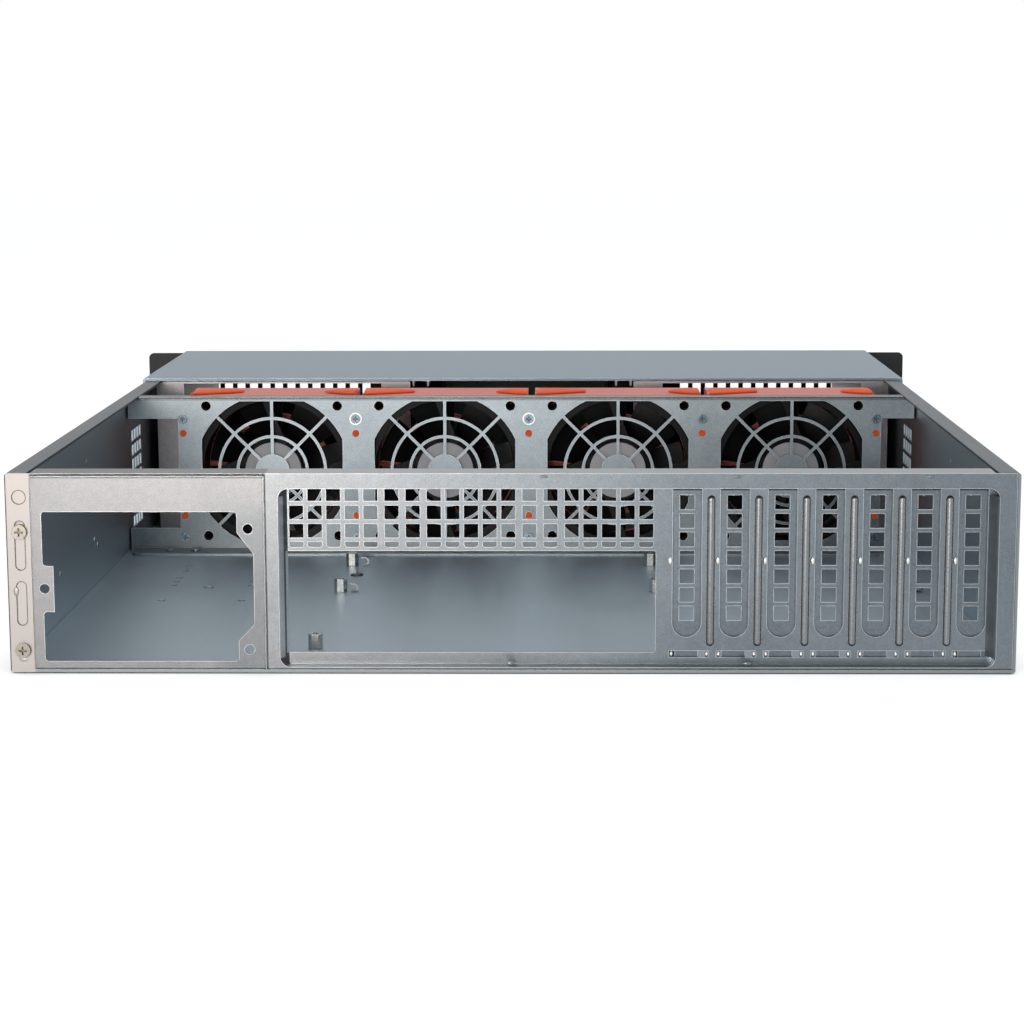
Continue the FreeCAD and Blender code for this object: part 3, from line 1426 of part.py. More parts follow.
doc.recompute()
for item in doc.Objects:
    if "Invalid" in item.State or "Error" in item.State:
        raise SystemExit(f"{item.Label} did not recompute")
for piece in PIECES:
    if piece.Shape.isNull() or not piece.Shape.isValid():
        raise SystemExit(f"{piece.Label} has no valid shape")

os.makedirs("parts", exist_ok=True)
for piece in PIECES:
    piece.Shape.exportStep(f"parts/{piece.Label}.step")
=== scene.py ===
"""Looks for the two-unit server case: studio, metals, plastics and the small stamped details.

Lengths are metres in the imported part's own frame: X right seen from behind, Y towards the front
panel, Z up.
"""

import math

import bpy
import numpy as np
from mathutils import Matrix, Vector


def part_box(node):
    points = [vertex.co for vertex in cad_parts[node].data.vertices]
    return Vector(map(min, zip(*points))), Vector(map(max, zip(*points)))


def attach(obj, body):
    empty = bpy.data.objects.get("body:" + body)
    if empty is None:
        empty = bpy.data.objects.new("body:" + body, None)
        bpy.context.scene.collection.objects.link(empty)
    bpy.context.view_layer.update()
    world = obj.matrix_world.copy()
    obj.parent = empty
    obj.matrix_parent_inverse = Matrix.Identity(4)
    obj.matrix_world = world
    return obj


bl_info = {
    "name": "Rackmount case looks",
    "version": (1, 0, 0),
    "blender": (4, 5, 0),
    "location": "View3D > Sidebar > Case",
    "description": "Dresses a packed two-unit server case for a studio render",
    "category": "Object",
}

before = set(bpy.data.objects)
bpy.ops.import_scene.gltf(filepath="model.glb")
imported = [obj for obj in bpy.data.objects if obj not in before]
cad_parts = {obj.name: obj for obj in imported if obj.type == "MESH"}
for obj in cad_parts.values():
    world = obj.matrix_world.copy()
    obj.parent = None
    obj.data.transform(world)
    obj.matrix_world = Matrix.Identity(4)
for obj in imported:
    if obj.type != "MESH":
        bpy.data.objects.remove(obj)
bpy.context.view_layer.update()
MM = 0.001
FANS = range(1, 5)
GUIDES = range(1, 6)
SLOTS = range(1, 8)


# ---------------------------------------------------------------- meshes
#
# A form is its points, its four-cornered faces as an array of indices, and its flat caps as a list
# of index arrays.

def mesh_object(name, form, material, smooth=None):
    """A mesh from a form; smooth is the angle in degrees under which edges are shaded round."""
    points, quads, caps = form
    mesh = bpy.data.meshes.new(name)
    mesh.from_pydata(points.tolist(), [], quads.tolist() + [cap.tolist() for cap in caps])
    mesh.validate()
    mesh.update()
    mesh.materials.append(material)
    if smooth is not None:
        mesh.shade_smooth()
        mesh.set_sharp_from_angle(angle=math.radians(smooth))
    item = bpy.data.objects.new(name, mesh)
    bpy.context.scene.collection.objects.link(item)
    return item


def grid_faces(rows, columns, wrap_rows=False, wrap_columns=False):
    """Quads of a grid of points with the columns fastest; wrapping joins the last to the first."""
    row, column = np.meshgrid(
        np.arange(rows if wrap_rows else rows - 1),
        np.arange(columns if wrap_columns else columns - 1), indexing="ij")
    below, beside = (row + 1) % rows, (column + 1) % columns
    return np.stack([
        row * columns + column, row * columns + beside,
        below * columns + beside, below * columns + column,
    ], axis=-1).reshape(-1, 4)


def outward(points, quads, caps=()):
    """The form with its faces turned so that they point out of it.

    The signed volume is the sum, over every face cut into a fan of triangles, of the triple product
    of its corners; when it is negative every face is turned round.
    """
    fans = [quads[:, [0, 1, 2]], quads[:, [0, 2, 3]]]
    fans += [np.column_stack([np.full(len(cap) - 2, cap[0]), cap[1:-1], cap[2:]]) for cap in caps]
    first, second, third = np.moveaxis(points[np.concatenate(fans)], 1, 0)
    if np.einsum("ij,ij->", first, np.cross(second, third)) > 0:
        return points, quads, list(caps)
    return points, quads[:, ::-1], [cap[::-1] for cap in caps]


def closed_rings(rings):
    """A closed form from an array of rings: quads between the rings and a flat cap at each end."""
    count, segments = rings.shape[:2]
    quads = grid_faces(count, segments, wrap_columns=True)
    first, last = np.arange(segments)[::-1], np.arange((count - 1) * segments, count * segments)
    return outward(rings.reshape(-1, 3), quads, [first, last])


def merged(forms):
    """Several forms as one, each form's indices moved on by the number of points before it."""
    starts = np.cumsum([0] + [len(points) for points, _, _ in forms])
    points = np.concatenate([points for points, _, _ in forms])
    quads = np.concatenate([quads + start for (_, quads, _), start in zip(forms, starts)])
    caps = [cap + start for (_, _, caps), start in zip(forms, starts) for cap in caps]
    return points, quads, caps


def turned(profile, centre, segments):
    """A profile of (radius, depth) pairs turned about an axis along Y through the centre.

    Each point lies at its radius times the sine and the cosine of the turn across the axis, and at
    its depth along it.
    """
    radius, depth = np.asarray(profile).T[:, :, None]
    turn = np.linspace(0, math.tau, segments, endpoint=False)
    rings = np.broadcast_arrays(radius * np.sin(turn), depth, radius * np.cos(turn))
    return closed_rings(np.stack(rings, axis=-1) + centre)


def half_stepped_turn(segments):
    """Angles round a full turn, half a step off so that none lies on the level line."""
    return (np.arange(segments) + 0.5) * math.tau / segments


def blister(centre, half_width, half_height, rise, facing=(0, -1, 0), length=0.0, rings=7,
            segments=24):
    """A stamped blister: half an ellipsoid standing on a sheet, drawn out upright by a length.

    With u from 0 to a little under a quarter turn, a ring lies at cos(u) times the half sizes across
    and at sin(u) times the rise along the facing. Its upper and lower halves move apart by half the
    length each, and the first ring is sunk into the sheet.
    """
    sunk, last_lift = 0.2 * MM, 0.46 * math.pi
    facing = np.asarray(facing, dtype=float)
    upright = np.array([0.0, 1.0, 0.0] if facing[2] else [0.0, 0.0, 1.0])
    across = np.cross(upright, facing)
    lift = np.concatenate([[0.0], np.linspace(0, last_lift, rings)])[:, None, None]
    turn = half_stepped_turn(segments)[None, :, None]
    outline = np.cos(turn) * half_width * across + np.sin(turn) * half_height * upright
    apart = np.sign(np.sin(turn)) * length / 2 * upright
    points = centre + np.cos(lift) * outline + np.sin(lift) * rise * facing + apart
    points[0] -= sunk * facing
    return closed_rings(points)


def hoop(centre, half_width, half_height, width, rise, length=0.0, segments=48):
    """A flat ring on a sheet that faces backwards, drawn out upright by a length.

    Its four edges are ellipses, at the half sizes and at the width more, a little under the sheet
    and at the rise over it; their upper and lower halves move apart by half the length each.
    """
    sunk = 0.05 * MM
    turn = half_stepped_turn(segments)
    more, lift = np.array([(0.0, -sunk), (width, -sunk), (width, rise), (0.0, rise)]).T[:, :, None]
    across = np.cos(turn) * (half_width + more)
    upright = np.sin(turn) * (half_height + more) + np.sign(np.sin(turn)) * length / 2
    edges = np.stack(np.broadcast_arrays(across, -lift, upright), axis=-1) + centre
    return outward(edges.reshape(-1, 3), grid_faces(4, segments, wrap_rows=True, wrap_columns=True))


def swept_strip(path, width, thickness):
    """A flat strip of sheet carried along a path that stays across Y.

    At each point of the path the section is a rectangle: half the width to each side along Y, and
    half the thickness to each side along the path's normal.
    """
    along = np.array([0.0, 1.0, 0.0])
    tangent = np.gradient(path, axis=0)
    tangent /= np.linalg.norm(tangent, axis=1)[:, None]
    normal = np.cross(tangent, along)
    corners = ((-1, -1), (1, -1), (1, 1), (-1, 1))
    return closed_rings(np.stack([
        path + side * width / 2 * along + face * thickness / 2 * normal for side, face in corners
    ], axis=1))


def place_piece(name, forms, finish, body="chassis", smooth=40):
    """One piece from several forms, riding on a body, with its finish."""
    piece = mesh_object(name, merged(forms), bpy.data.materials[finish], smooth)
    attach(piece, body)


# ---------------------------------------------------------------- node trees

class Nodes:
    """A node tree under construction; its methods give back output sockets."""

    def __init__(self, tree):
        """Empties a tree to build in."""
        self.tree = tree
        tree.nodes.clear()

    def node(self, kind, **settings):
        """A new node with some of its settings."""
        item = self.tree.nodes.new(kind)
        for name, value in settings.items():
            setattr(item, name, value)
        return item

    def plug(self, value, target):
        """Links a socket to an input, or sets a plain value on it."""
        if isinstance(value, bpy.types.NodeSocket):
            self.tree.links.new(value, target)
        else:
            target.default_value = value

    def fill(self, item, **values):
        """Plugs a node's inputs by name, with _ for a space, and gives the node back."""
        for name, value in values.items():
            self.plug(value, item.inputs[name.replace("_", " ")])
        return item

    def math(self, operation, first, second, clamp=False):
        """One sum, difference, product or larger value of two."""
        item = self.node("ShaderNodeMath", operation=operation, use_clamp=clamp)
        self.plug(first, item.inputs[0])
        self.plug(second, item.inputs[1])
        return item.outputs["Value"]

    def spread(self, source, low, high, start=0.3, end=0.7):
        """Maps a start to end range onto a low to high one."""
        item = self.fill(self.node("ShaderNodeMapRange"), From_Min=start, From_Max=end,
                         To_Min=low, To_Max=high)
        self.plug(source, item.inputs["Value"])
        return item.outputs["Result"]

    def looked_at(self):
        """1 for a ray from the camera, off a mirror or through glass, and 0 for a scattered one."""
        rays = self.node("ShaderNodeLightPath").outputs
        straight = self.math("MAXIMUM", rays["Is Camera Ray"], rays["Is Glossy Ray"])
        return self.math("MAXIMUM", straight, rays["Is Transmission Ray"])


class Shader(Nodes):
    """A material's nodes; every texture reads the object's own coordinates."""

    def __init__(self, name):
        """Starts the material of that name afresh, or makes it."""
        self.material = bpy.data.materials.get(name) or bpy.data.materials.new(name)
        self.material.use_nodes = True
        super().__init__(self.material.node_tree)
        self.output = self.node("ShaderNodeOutputMaterial")
        self.surface = self.node("ShaderNodeBsdfPrincipled")
        self.plug(self.surface.outputs["BSDF"], self.output.inputs["Surface"])
        self.place = self.node("ShaderNodeTexCoord").outputs["Object"]

    def finish(self, **values):
        """Sets the surface's inputs and gives the material."""
        self.fill(self.surface, **values)
        return self.material

    def noise(self, scale, detail, roughness, stretch=(1, 1, 1)):
        """A noise texture, with its coordinates multiplied by the stretch."""
        mapping = self.fill(self.node("ShaderNodeMapping"), Vector=self.place, Scale=stretch)
        texture = self.fill(self.node("ShaderNodeTexNoise"), Vector=mapping.outputs["Vector"],
                            Scale=scale, Detail=detail, Roughness=roughness)
        return texture.outputs["Fac"]

    def within(self, *ramps):
        """The product of ramps (axis, start, end): each goes from 0 to 1 along the object's own axis."""
        product = None
        for axis, start, end in ramps:
            split = self.fill(self.node("ShaderNodeSeparateXYZ"), Vector=self.place)
            ramp = self.spread(split.outputs[axis], 0.0, 1.0, start, end)
            product = ramp if product is None else self.math("MULTIPLY", product, ramp)
        return product

    def blend(self, factor, first, second):
        """A colour between two, by a factor; each may be a socket or a plain colour."""
        item = self.node("ShaderNodeMix", data_type="RGBA")
        self.plug(factor, item.inputs["Factor"])
        for colour, into in ((first, "A"), (second, "B")):
            self.plug((*colour, 1) if isinstance(colour, tuple) else colour, item.inputs[into])
        return item.outputs["Result"]

    def softened(self, radius):
        """The normal as it would be with every edge rounded to a radius."""
        return self.fill(self.node("ShaderNodeBevel", samples=4), Radius=radius).outputs["Normal"]

    def edges(self, radius, sharp=0.97, rounded=0.8):
        """A mask of the sheet's cut edges: 1 where the softened normal leaves the true one."""
        dot = self.node("ShaderNodeVectorMath", operation="DOT_PRODUCT")
        self.plug(self.softened(radius), dot.inputs[0])
        self.plug(self.node("ShaderNodeNewGeometry").outputs["True Normal"], dot.inputs[1])
        return self.spread(dot.outputs["Value"], 0.0, 1.0, sharp, rounded)

    def creases(self, reach, closed=0.25, opened=0.8):
        """A mask of folds, seams and gaps: 1 where near surfaces shut off the view."""
        nearby = self.fill(self.node("ShaderNodeAmbientOcclusion", samples=6), Distance=reach)
        return self.spread(nearby.outputs["AO"], 1.0, 0.0, closed, opened)

    def relief(self, height, strength, distance, edge=0.0):
        """A bump, on top of edges softened to a radius."""
        bump = self.fill(self.node("ShaderNodeBump"), Height=height, Strength=strength, Distance=distance)
        if edge:
            self.plug(self.softened(edge), bump.inputs["Normal"])
        self.fill(self.surface, Normal=bump.outputs["Normal"])


# ---------------------------------------------------------------- kinds of finish

def times(colour, share):
    """A colour times a share."""
    return tuple(min(1.0, channel * share) for channel in colour)


def galvanised(name, pale, dark, rough, grain=900, speckle=0.3, streak=0.15, painted_shades=(),
               cut=0.5 * MM):
    """Zinc-coated sheet: a fine grain, soft patches, long rolling streaks, a painted highlight along the
    edges and painted shade in creases.

    Each painted tone is (colour, ramp, ...), where a ramp is (axis, start, end): the zinc passes to that
    colour from start to end of every ramp together; these colours are painted light and shade on the
    sheet. Its dark grains are that colour times a share: 1.45 times the ratio of dark to pale, less 0.25.
    A cut of 0 leaves the edges as the rest is, without the painted highlight.
    """
    painted_edge_highlight = (0.7, 0.72, 0.74)
    patchiness = 0.18
    crease_shade_reach, crease_shade_share = 1.8 * MM, 0.22
    shader = Shader(name)
    fine = shader.noise(grain, detail=3, roughness=0.7)
    patch = shader.spread(shader.noise(14, detail=5, roughness=0.6), -patchiness, patchiness)
    lines = shader.noise(24, detail=6, roughness=0.6, stretch=(14, 0.6, 14))
    rolled = shader.spread(lines, -streak, streak)
    grainy = shader.spread(fine, 0.5 - speckle, 0.5 + speckle, 0.35, 0.65)
    tone = shader.math("ADD", shader.math("ADD", grainy, patch), rolled, clamp=True)
    colour = shader.blend(tone, dark, pale)
    deep_share = 1.45 * dark[0] / pale[0] - 0.25
    # Painted light and shade: each listed colour is laid over the zinc along its ramps.
    for shade, *ramps in painted_shades:
        grains = shader.blend(tone, times(shade, deep_share), shade)
        colour = shader.blend(shader.within(*ramps), colour, grains)
    # Painted highlight: the colour turns pale along the edges, where the softened normal leaves the true
    # one.
    if cut:
        colour = shader.blend(shader.edges(cut), colour, painted_edge_highlight)
    # Painted shade: the colour darkens in creases, corners and gaps where nearby surfaces close off the
    # view.
    colour = shader.blend(shader.creases(crease_shade_reach, 0.2, 0.65), colour, times(dark, crease_shade_share))
    shader.relief(fine, strength=0.04, distance=0.2 * MM)
    roughness = shader.spread(tone, *rough, start=0.0, end=1.0)
    return shader.finish(Base_Color=colour, Metallic=1.0, Roughness=roughness)


def moulded(name, colour, deep, rough, grain=700, edge=0.3 * MM, gloss=0.5):
    """Moulded plastic with a fine surface texture and slight uneven colour."""
    shader = Shader(name)
    fine = shader.noise(grain, detail=2, roughness=0.6)
    patch = shader.spread(shader.noise(22, detail=4, roughness=0.6), 0.0, 1.0)
    shader.relief(fine, strength=0.08, distance=0.1 * MM, edge=edge)
    return shader.finish(Base_Color=shader.blend(patch, colour, deep),
                         Roughness=shader.spread(fine, *rough), Specular_IOR_Level=gloss)


def powder_coat(name, colour, deep):
    """Black powder coat: fine orange-peel lumps over a dark, even colour."""
    shader = Shader(name)
    lumps = shader.noise(1400, detail=2, roughness=0.5)
    patch = shader.noise(30, detail=3, roughness=0.5)
    shader.relief(lumps, strength=0.35, distance=0.15 * MM, edge=0.4 * MM)
    return shader.finish(Base_Color=shader.blend(patch, colour, deep),
                         Roughness=shader.spread(lumps, 0.42, 0.58), Specular_IOR_Level=0.3)


def plated(name, pale, dark):
    """Small plated fasteners: bright metal with faint stains, and painted shade in their crevices."""
    shader = Shader(name)
    stain = shader.noise(420, detail=4, roughness=0.6)
    colour = shader.blend(shader.spread(stain, 0.0, 1.0), pale, dark)
    # Painted shade: the colour darkens in crevices where nearby surfaces close off the view.
    colour = shader.blend(shader.creases(1.2 * MM), colour, times(dark, 0.2))
    shader.relief(stain, strength=0.05, distance=0.1 * MM, edge=0.25 * MM)
    roughness = shader.spread(stain, 0.22, 0.36)
    return shader.finish(Base_Color=colour, Metallic=1.0, Roughness=roughness)


# ---------------------------------------------------------------- this case's finishes

# The painted shade of a gap between parts, and two pairs of roughness, for the dark and the pale grains.
GAP_SHADE = (0.02, 0.021, 0.022)
SATIN = (0.36, 0.44)
SMOOTH = (0.28, 0.36)


def rear_steels():
    """The rear panel, its stamped ribs and slopes, the power supply's plate and the slot covers, with a
    painted highlight at the panel's left, on the ribs and on the left slope, and painted shade on the
    plate's right post, on the right slope and in the gaps.
    """
    # Painted highlight: the panel turns paler and warmer towards its left, where the low warm key light
    # falls.
    left_highlight = ((0.28, 0.289, 0.299), ("X", 0.07, -0.12))
    galvanised("Panel steel", (0.205, 0.236, 0.258), (0.118, 0.14, 0.157), SMOOTH, 1700, 0.36, painted_shades=(
        left_highlight,
        # Painted shade in the gaps at the panel's left edge and at its foot.
        (GAP_SHADE, ("X", -0.1043, -0.1048)),
        (GAP_SHADE, ("Z", 0.0021, 0.0016)),
    ))
    # Painted shade: the plate's narrow right post is darker below its top band.
    post_shade = ((0.195, 0.206, 0.216), ("X", -0.130, -0.120), ("Z", 0.075, 0.065))
    galvanised("Plate steel", (0.25, 0.252, 0.256), (0.155, 0.157, 0.163), SMOOTH, 1700, 0.34, painted_shades=(
        post_shade,
        # Painted shade in the gaps at the plate's edges.
        (GAP_SHADE, ("X", -0.1060, -0.1056)),
        (GAP_SHADE, ("X", -0.2046, -0.2050)),
        (GAP_SHADE, ("Z", 0.0844, 0.0848)),
        (GAP_SHADE, ("Z", 0.0022, 0.0016)),
    ))
    # Painted highlight and painted shade: the left slope takes a near-white copy of the zinc and the
    # right slope a darker one.
    galvanised("Painted highlight slope steel", (0.86, 0.88, 0.90), (0.66, 0.68, 0.70), SATIN, 1700, cut=0.0)
    galvanised("Painted shade slope steel", (0.36, 0.39, 0.41), (0.24, 0.27, 0.29), SATIN, 1700, cut=0.0)
    # Painted highlight: the ribs take a zinc paler than the panel's they are stamped from.
    galvanised("Painted highlight rib steel", (0.25, 0.262, 0.275), (0.185, 0.196, 0.205), (0.24, 0.32), 1700, cut=0.0)
    galvanised("Slot cover steel", (0.158, 0.186, 0.207), (0.10, 0.12, 0.134), (0.3, 0.4))


def tray_steel():
    """The folded tray: a pale floor, painted shade on the wall faces above the floor, on the top return
    flanges, on the near floor, on the rear faces and at the outer left edge, and a painted warm highlight
    on the strip at the rear left.
    """
    rear_face = ("Y", -0.2684, -0.2688)
    # Painted shade: the wall faces, the top returns, the near floor and the rear faces of the one sheet
    # are darkened, and the outer left edge takes a dark gap line.
    wall_shade = ((0.295, 0.35, 0.385), ("Z", 0.004, 0.03))
    return_shade = ((0.075, 0.09, 0.10), ("Z", 0.083, 0.085))
    near_floor_shade = ((0.31, 0.372, 0.42), ("Y", -0.10, -0.26), ("Z", 0.0035, 0.0025))
    rear_face_shade = ((0.20, 0.225, 0.24), rear_face)
    # Painted highlight: the strip at the rear left is paler and warmer, as under the low warm key light.
    strip = ((0.33, 0.312, 0.30), rear_face, ("X", -0.2050, -0.2052))
    outer_edge_shade = (GAP_SHADE, rear_face, ("X", -0.2152, -0.2156))
    galvanised("Tray steel", (0.40, 0.475, 0.53), (0.34, 0.41, 0.46), (0.40, 0.48), speckle=0.12, cut=0.0,
               painted_shades=(wall_shade, return_shade, near_floor_shade, rear_face_shade, strip, outer_edge_shade))


def inner_steels():
    """The fan wall, painted darker towards its foot and with painted shade on its top flange, the cover
    and the drive cages.
    """
    # Painted shade: the fan wall darkens towards its foot, and its top flange is painted dark.
    low_wall_shade = ((0.22, 0.25, 0.27), ("Z", 0.055, 0.03))
    top_flange_shade = ((0.08, 0.09, 0.095), ("Z", 0.0835, 0.0845))
    galvanised("Fan wall steel", (0.37, 0.415, 0.44), (0.22, 0.255, 0.28), (0.34, 0.44), 1500, 0.35,
               painted_shades=(low_wall_shade, top_flange_shade))
    galvanised("Lid steel", (0.165, 0.225, 0.28), (0.12, 0.165, 0.21), SATIN, speckle=0.2, streak=0.2)
    galvanised("Cage steel", (0.40, 0.385, 0.39), (0.28, 0.27, 0.275), (0.34, 0.46))


def plastics(looks):
    """The front panel's coat, the fans and their orange cages, and the control panel's parts."""
    powder_coat("Front black", tuple(looks.front_black), times(looks.front_black, 1.6))
    moulded("Orange plastic", tuple(looks.orange), times(looks.orange, 0.86), (0.5, 0.62))
    moulded("Vivid orange plastic", tuple(looks.handle), times(looks.handle, 0.88), (0.5, 0.6), gloss=0.2)
    moulded("Black fan plastic", (0.003, 0.003, 0.0034), (0.006, 0.006, 0.0066), (0.36, 0.5), gloss=0.16)
    moulded("Control plastic", (0.018, 0.018, 0.02), (0.028, 0.028, 0.03), (0.36, 0.5))
    moulded("Circuit board", (0.02, 0.10, 0.05), (0.015, 0.08, 0.04), (0.25, 0.4))
    moulded("Light pipe", (0.62, 0.68, 0.70), (0.55, 0.60, 0.62), (0.15, 0.25))
    moulded("Bare hub label", tuple(looks.label_grey), times(looks.label_grey, 0.85), (0.4, 0.55))
    # Painted shade: black foam that stands behind the front grille to darken its openings.
    moulded("Painted shade foam", (0.006, 0.006, 0.007), (0.02, 0.02, 0.021), (0.8, 0.95), grain=260, edge=0.0,
            gloss=0.1)


def small_metals():
    """The screws, rivets, standoffs and ports, a near-white zinc that also paints a highlight on the
    stamped catches and nubs, and the painted shade of the grooves round pressed marks.
    """
    plated("Zinc screws", (0.27, 0.34, 0.39), (0.16, 0.21, 0.25))
    plated("Nickel screws", (0.36, 0.335, 0.29), (0.22, 0.20, 0.165))
    plated("Standoff metal", (0.56, 0.57, 0.55), (0.36, 0.37, 0.36))
    # Near-white zinc: bright on the washers and rivets, and a painted highlight on the stamped catches
    # and nubs.
    plated("Zinc and painted glint", (0.86, 0.85, 0.80), (0.62, 0.62, 0.60))
    plated("Port shell", (0.75, 0.76, 0.77), (0.62, 0.63, 0.64))
    # Painted shade: the dark outlines round the pressed marks on the strip.
    plated("Painted groove shade", (0.15, 0.137, 0.126), (0.09, 0.083, 0.077))


CAD_FINISHES = {
    "Panel steel": ["rear_panel"],
    "Plate steel": ["psu_plate"],
    "Tray steel": ["chassis_tray"],
    "Fan wall steel": ["fan_wall"],
    "Slot cover steel": ["slot_shelf"] + [f"slot_cover_{number}" for number in SLOTS],
    "Lid steel": ["front_cover"],
    "Cage steel": ["drive_cage_left", "drive_cage_right", "cover_brace_left", "cover_brace_right"],
    "Front black": ["front_panel"],
    "Orange plastic": [f"fan_cage_{number}" for number in FANS],
    "Vivid orange plastic": [f"fan_guide_{number}" for number in GUIDES],
    "Black fan plastic": [f"fan_{part}_{number}" for part in ("frame", "rotor") for number in FANS],
    "Control plastic": ["control_panel", "power_button", "reset_button"],
    "Nickel screws": ["psu_plate_screws"],
    "Zinc screws": ["slot_cover_screws", "fan_guide_screws", "cover_screws", "front_panel_screws",
                    "fan_wall_rivets"],
    "Standoff metal": ["mainboard_standoffs"],
    "Port shell": ["data_ports"],
    "Circuit board": ["control_board"],
    "Light pipe": ["indicator_lights"],
}


# ---------------------------------------------------------------- add-on

class CaseLooks(bpy.types.PropertyGroup):
    """Sizes and colours of the case's looks."""

    orange: bpy.props.FloatVectorProperty(
        name="Fan cage orange", description="Colour of the moulded fan cages",
        subtype="COLOR", size=3, min=0.0, max=1.0, default=(0.87, 0.22, 0.168))
    handle: bpy.props.FloatVectorProperty(
        name="Fan guide orange", description="Colour of the brighter guides and tabs beside the fans",
        subtype="COLOR", size=3, min=0.0, max=1.0, default=(1.0, 0.12, 0.02))
    front_black: bpy.props.FloatVectorProperty(
        name="Front panel black", description="Colour of the powder-coated front panel",
        subtype="COLOR", size=3, min=0.0, max=1.0, default=(0.012, 0.012, 0.013))
    label_grey: bpy.props.FloatVectorProperty(
        name="Hub label grey", description="Colour of the bare disc on each fan's motor plate",
        subtype="COLOR", size=3, min=0.0, max=1.0, default=(0.50, 0.485, 0.495))
    label_radius: bpy.props.FloatProperty(
        name="Hub label radius", description="Radius of the bare disc on each fan's motor plate",
        default=0.0153, min=0.005, max=0.018, unit="LENGTH")
    label_thickness: bpy.props.FloatProperty(
        name="Hub label thickness", description="How far the hub label stands off the motor plate",
        default=0.00014, min=0.00005, max=0.0005, unit="LENGTH")
    blister_rise: bpy.props.FloatProperty(
        name="Blister rise", description="How far the small stamped blisters stand off the sheet",
        default=0.0007, min=0.0002, max=0.0015, unit="LENGTH")
    hook_width: bpy.props.FloatProperty(
        name="Hook width", description="Width of the bent hooks beside the floor's standoffs",
        default=0.0018, min=0.001, max=0.005, unit="LENGTH")
    key_power: bpy.props.FloatProperty(
        name="Key light power", description="Power of the low warm light at the left",
        default=15.0, min=0.0, max=100.0, unit="POWER")
    top_power: bpy.props.FloatProperty(
        name="Top light power", description="Power of the wide light above the case",
        default=5.0, min=0.0, max=100.0, unit="POWER")


class CASE_OT_finishes(bpy.types.Operator):
    """Makes the procedural finishes and gives every CAD node its own"""

    bl_idname = "case.finishes"
    bl_label = "Finishes"

    def execute(self, context):
        rear_steels()
        tray_steel()
        inner_steels()
        plastics(context.scene.case_looks)
        small_metals()
        for finish, nodes in CAD_FINISHES.items():
            for node in nodes:
                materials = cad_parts[node].data.materials
                materials.clear()
                materials.append(bpy.data.materials[finish])
        return {"FINISHED"}


class CASE_OT_hub_labels(bpy.types.Operator):
    """Lays a bare grey disc on each fan's motor plate"""

    bl_idname = "case.hub_labels"
    bl_label = "Hub labels"

    sunk = 0.05 * MM
    segments = 64

    def execute(self, context):
        looks = context.scene.case_looks
        radius, rise = looks.label_radius, looks.label_thickness
        rounded_rim = (
            (radius, self.sunk), (radius, -rise * 0.5),
            (radius - rise * 0.3, -rise * 0.9), (radius - rise, -rise),
        )
        for number in FANS:
            low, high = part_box(f"fan_frame_{number}")
            centre = ((low[0] + high[0]) / 2, low[1], (low[2] + high[2]) / 2)
            place_piece(f"hub_label_{number}", [turned(rounded_rim, centre, self.segments)],
                        "Bare hub label", f"fan_module_{number}")
        return {"FINISHED"}


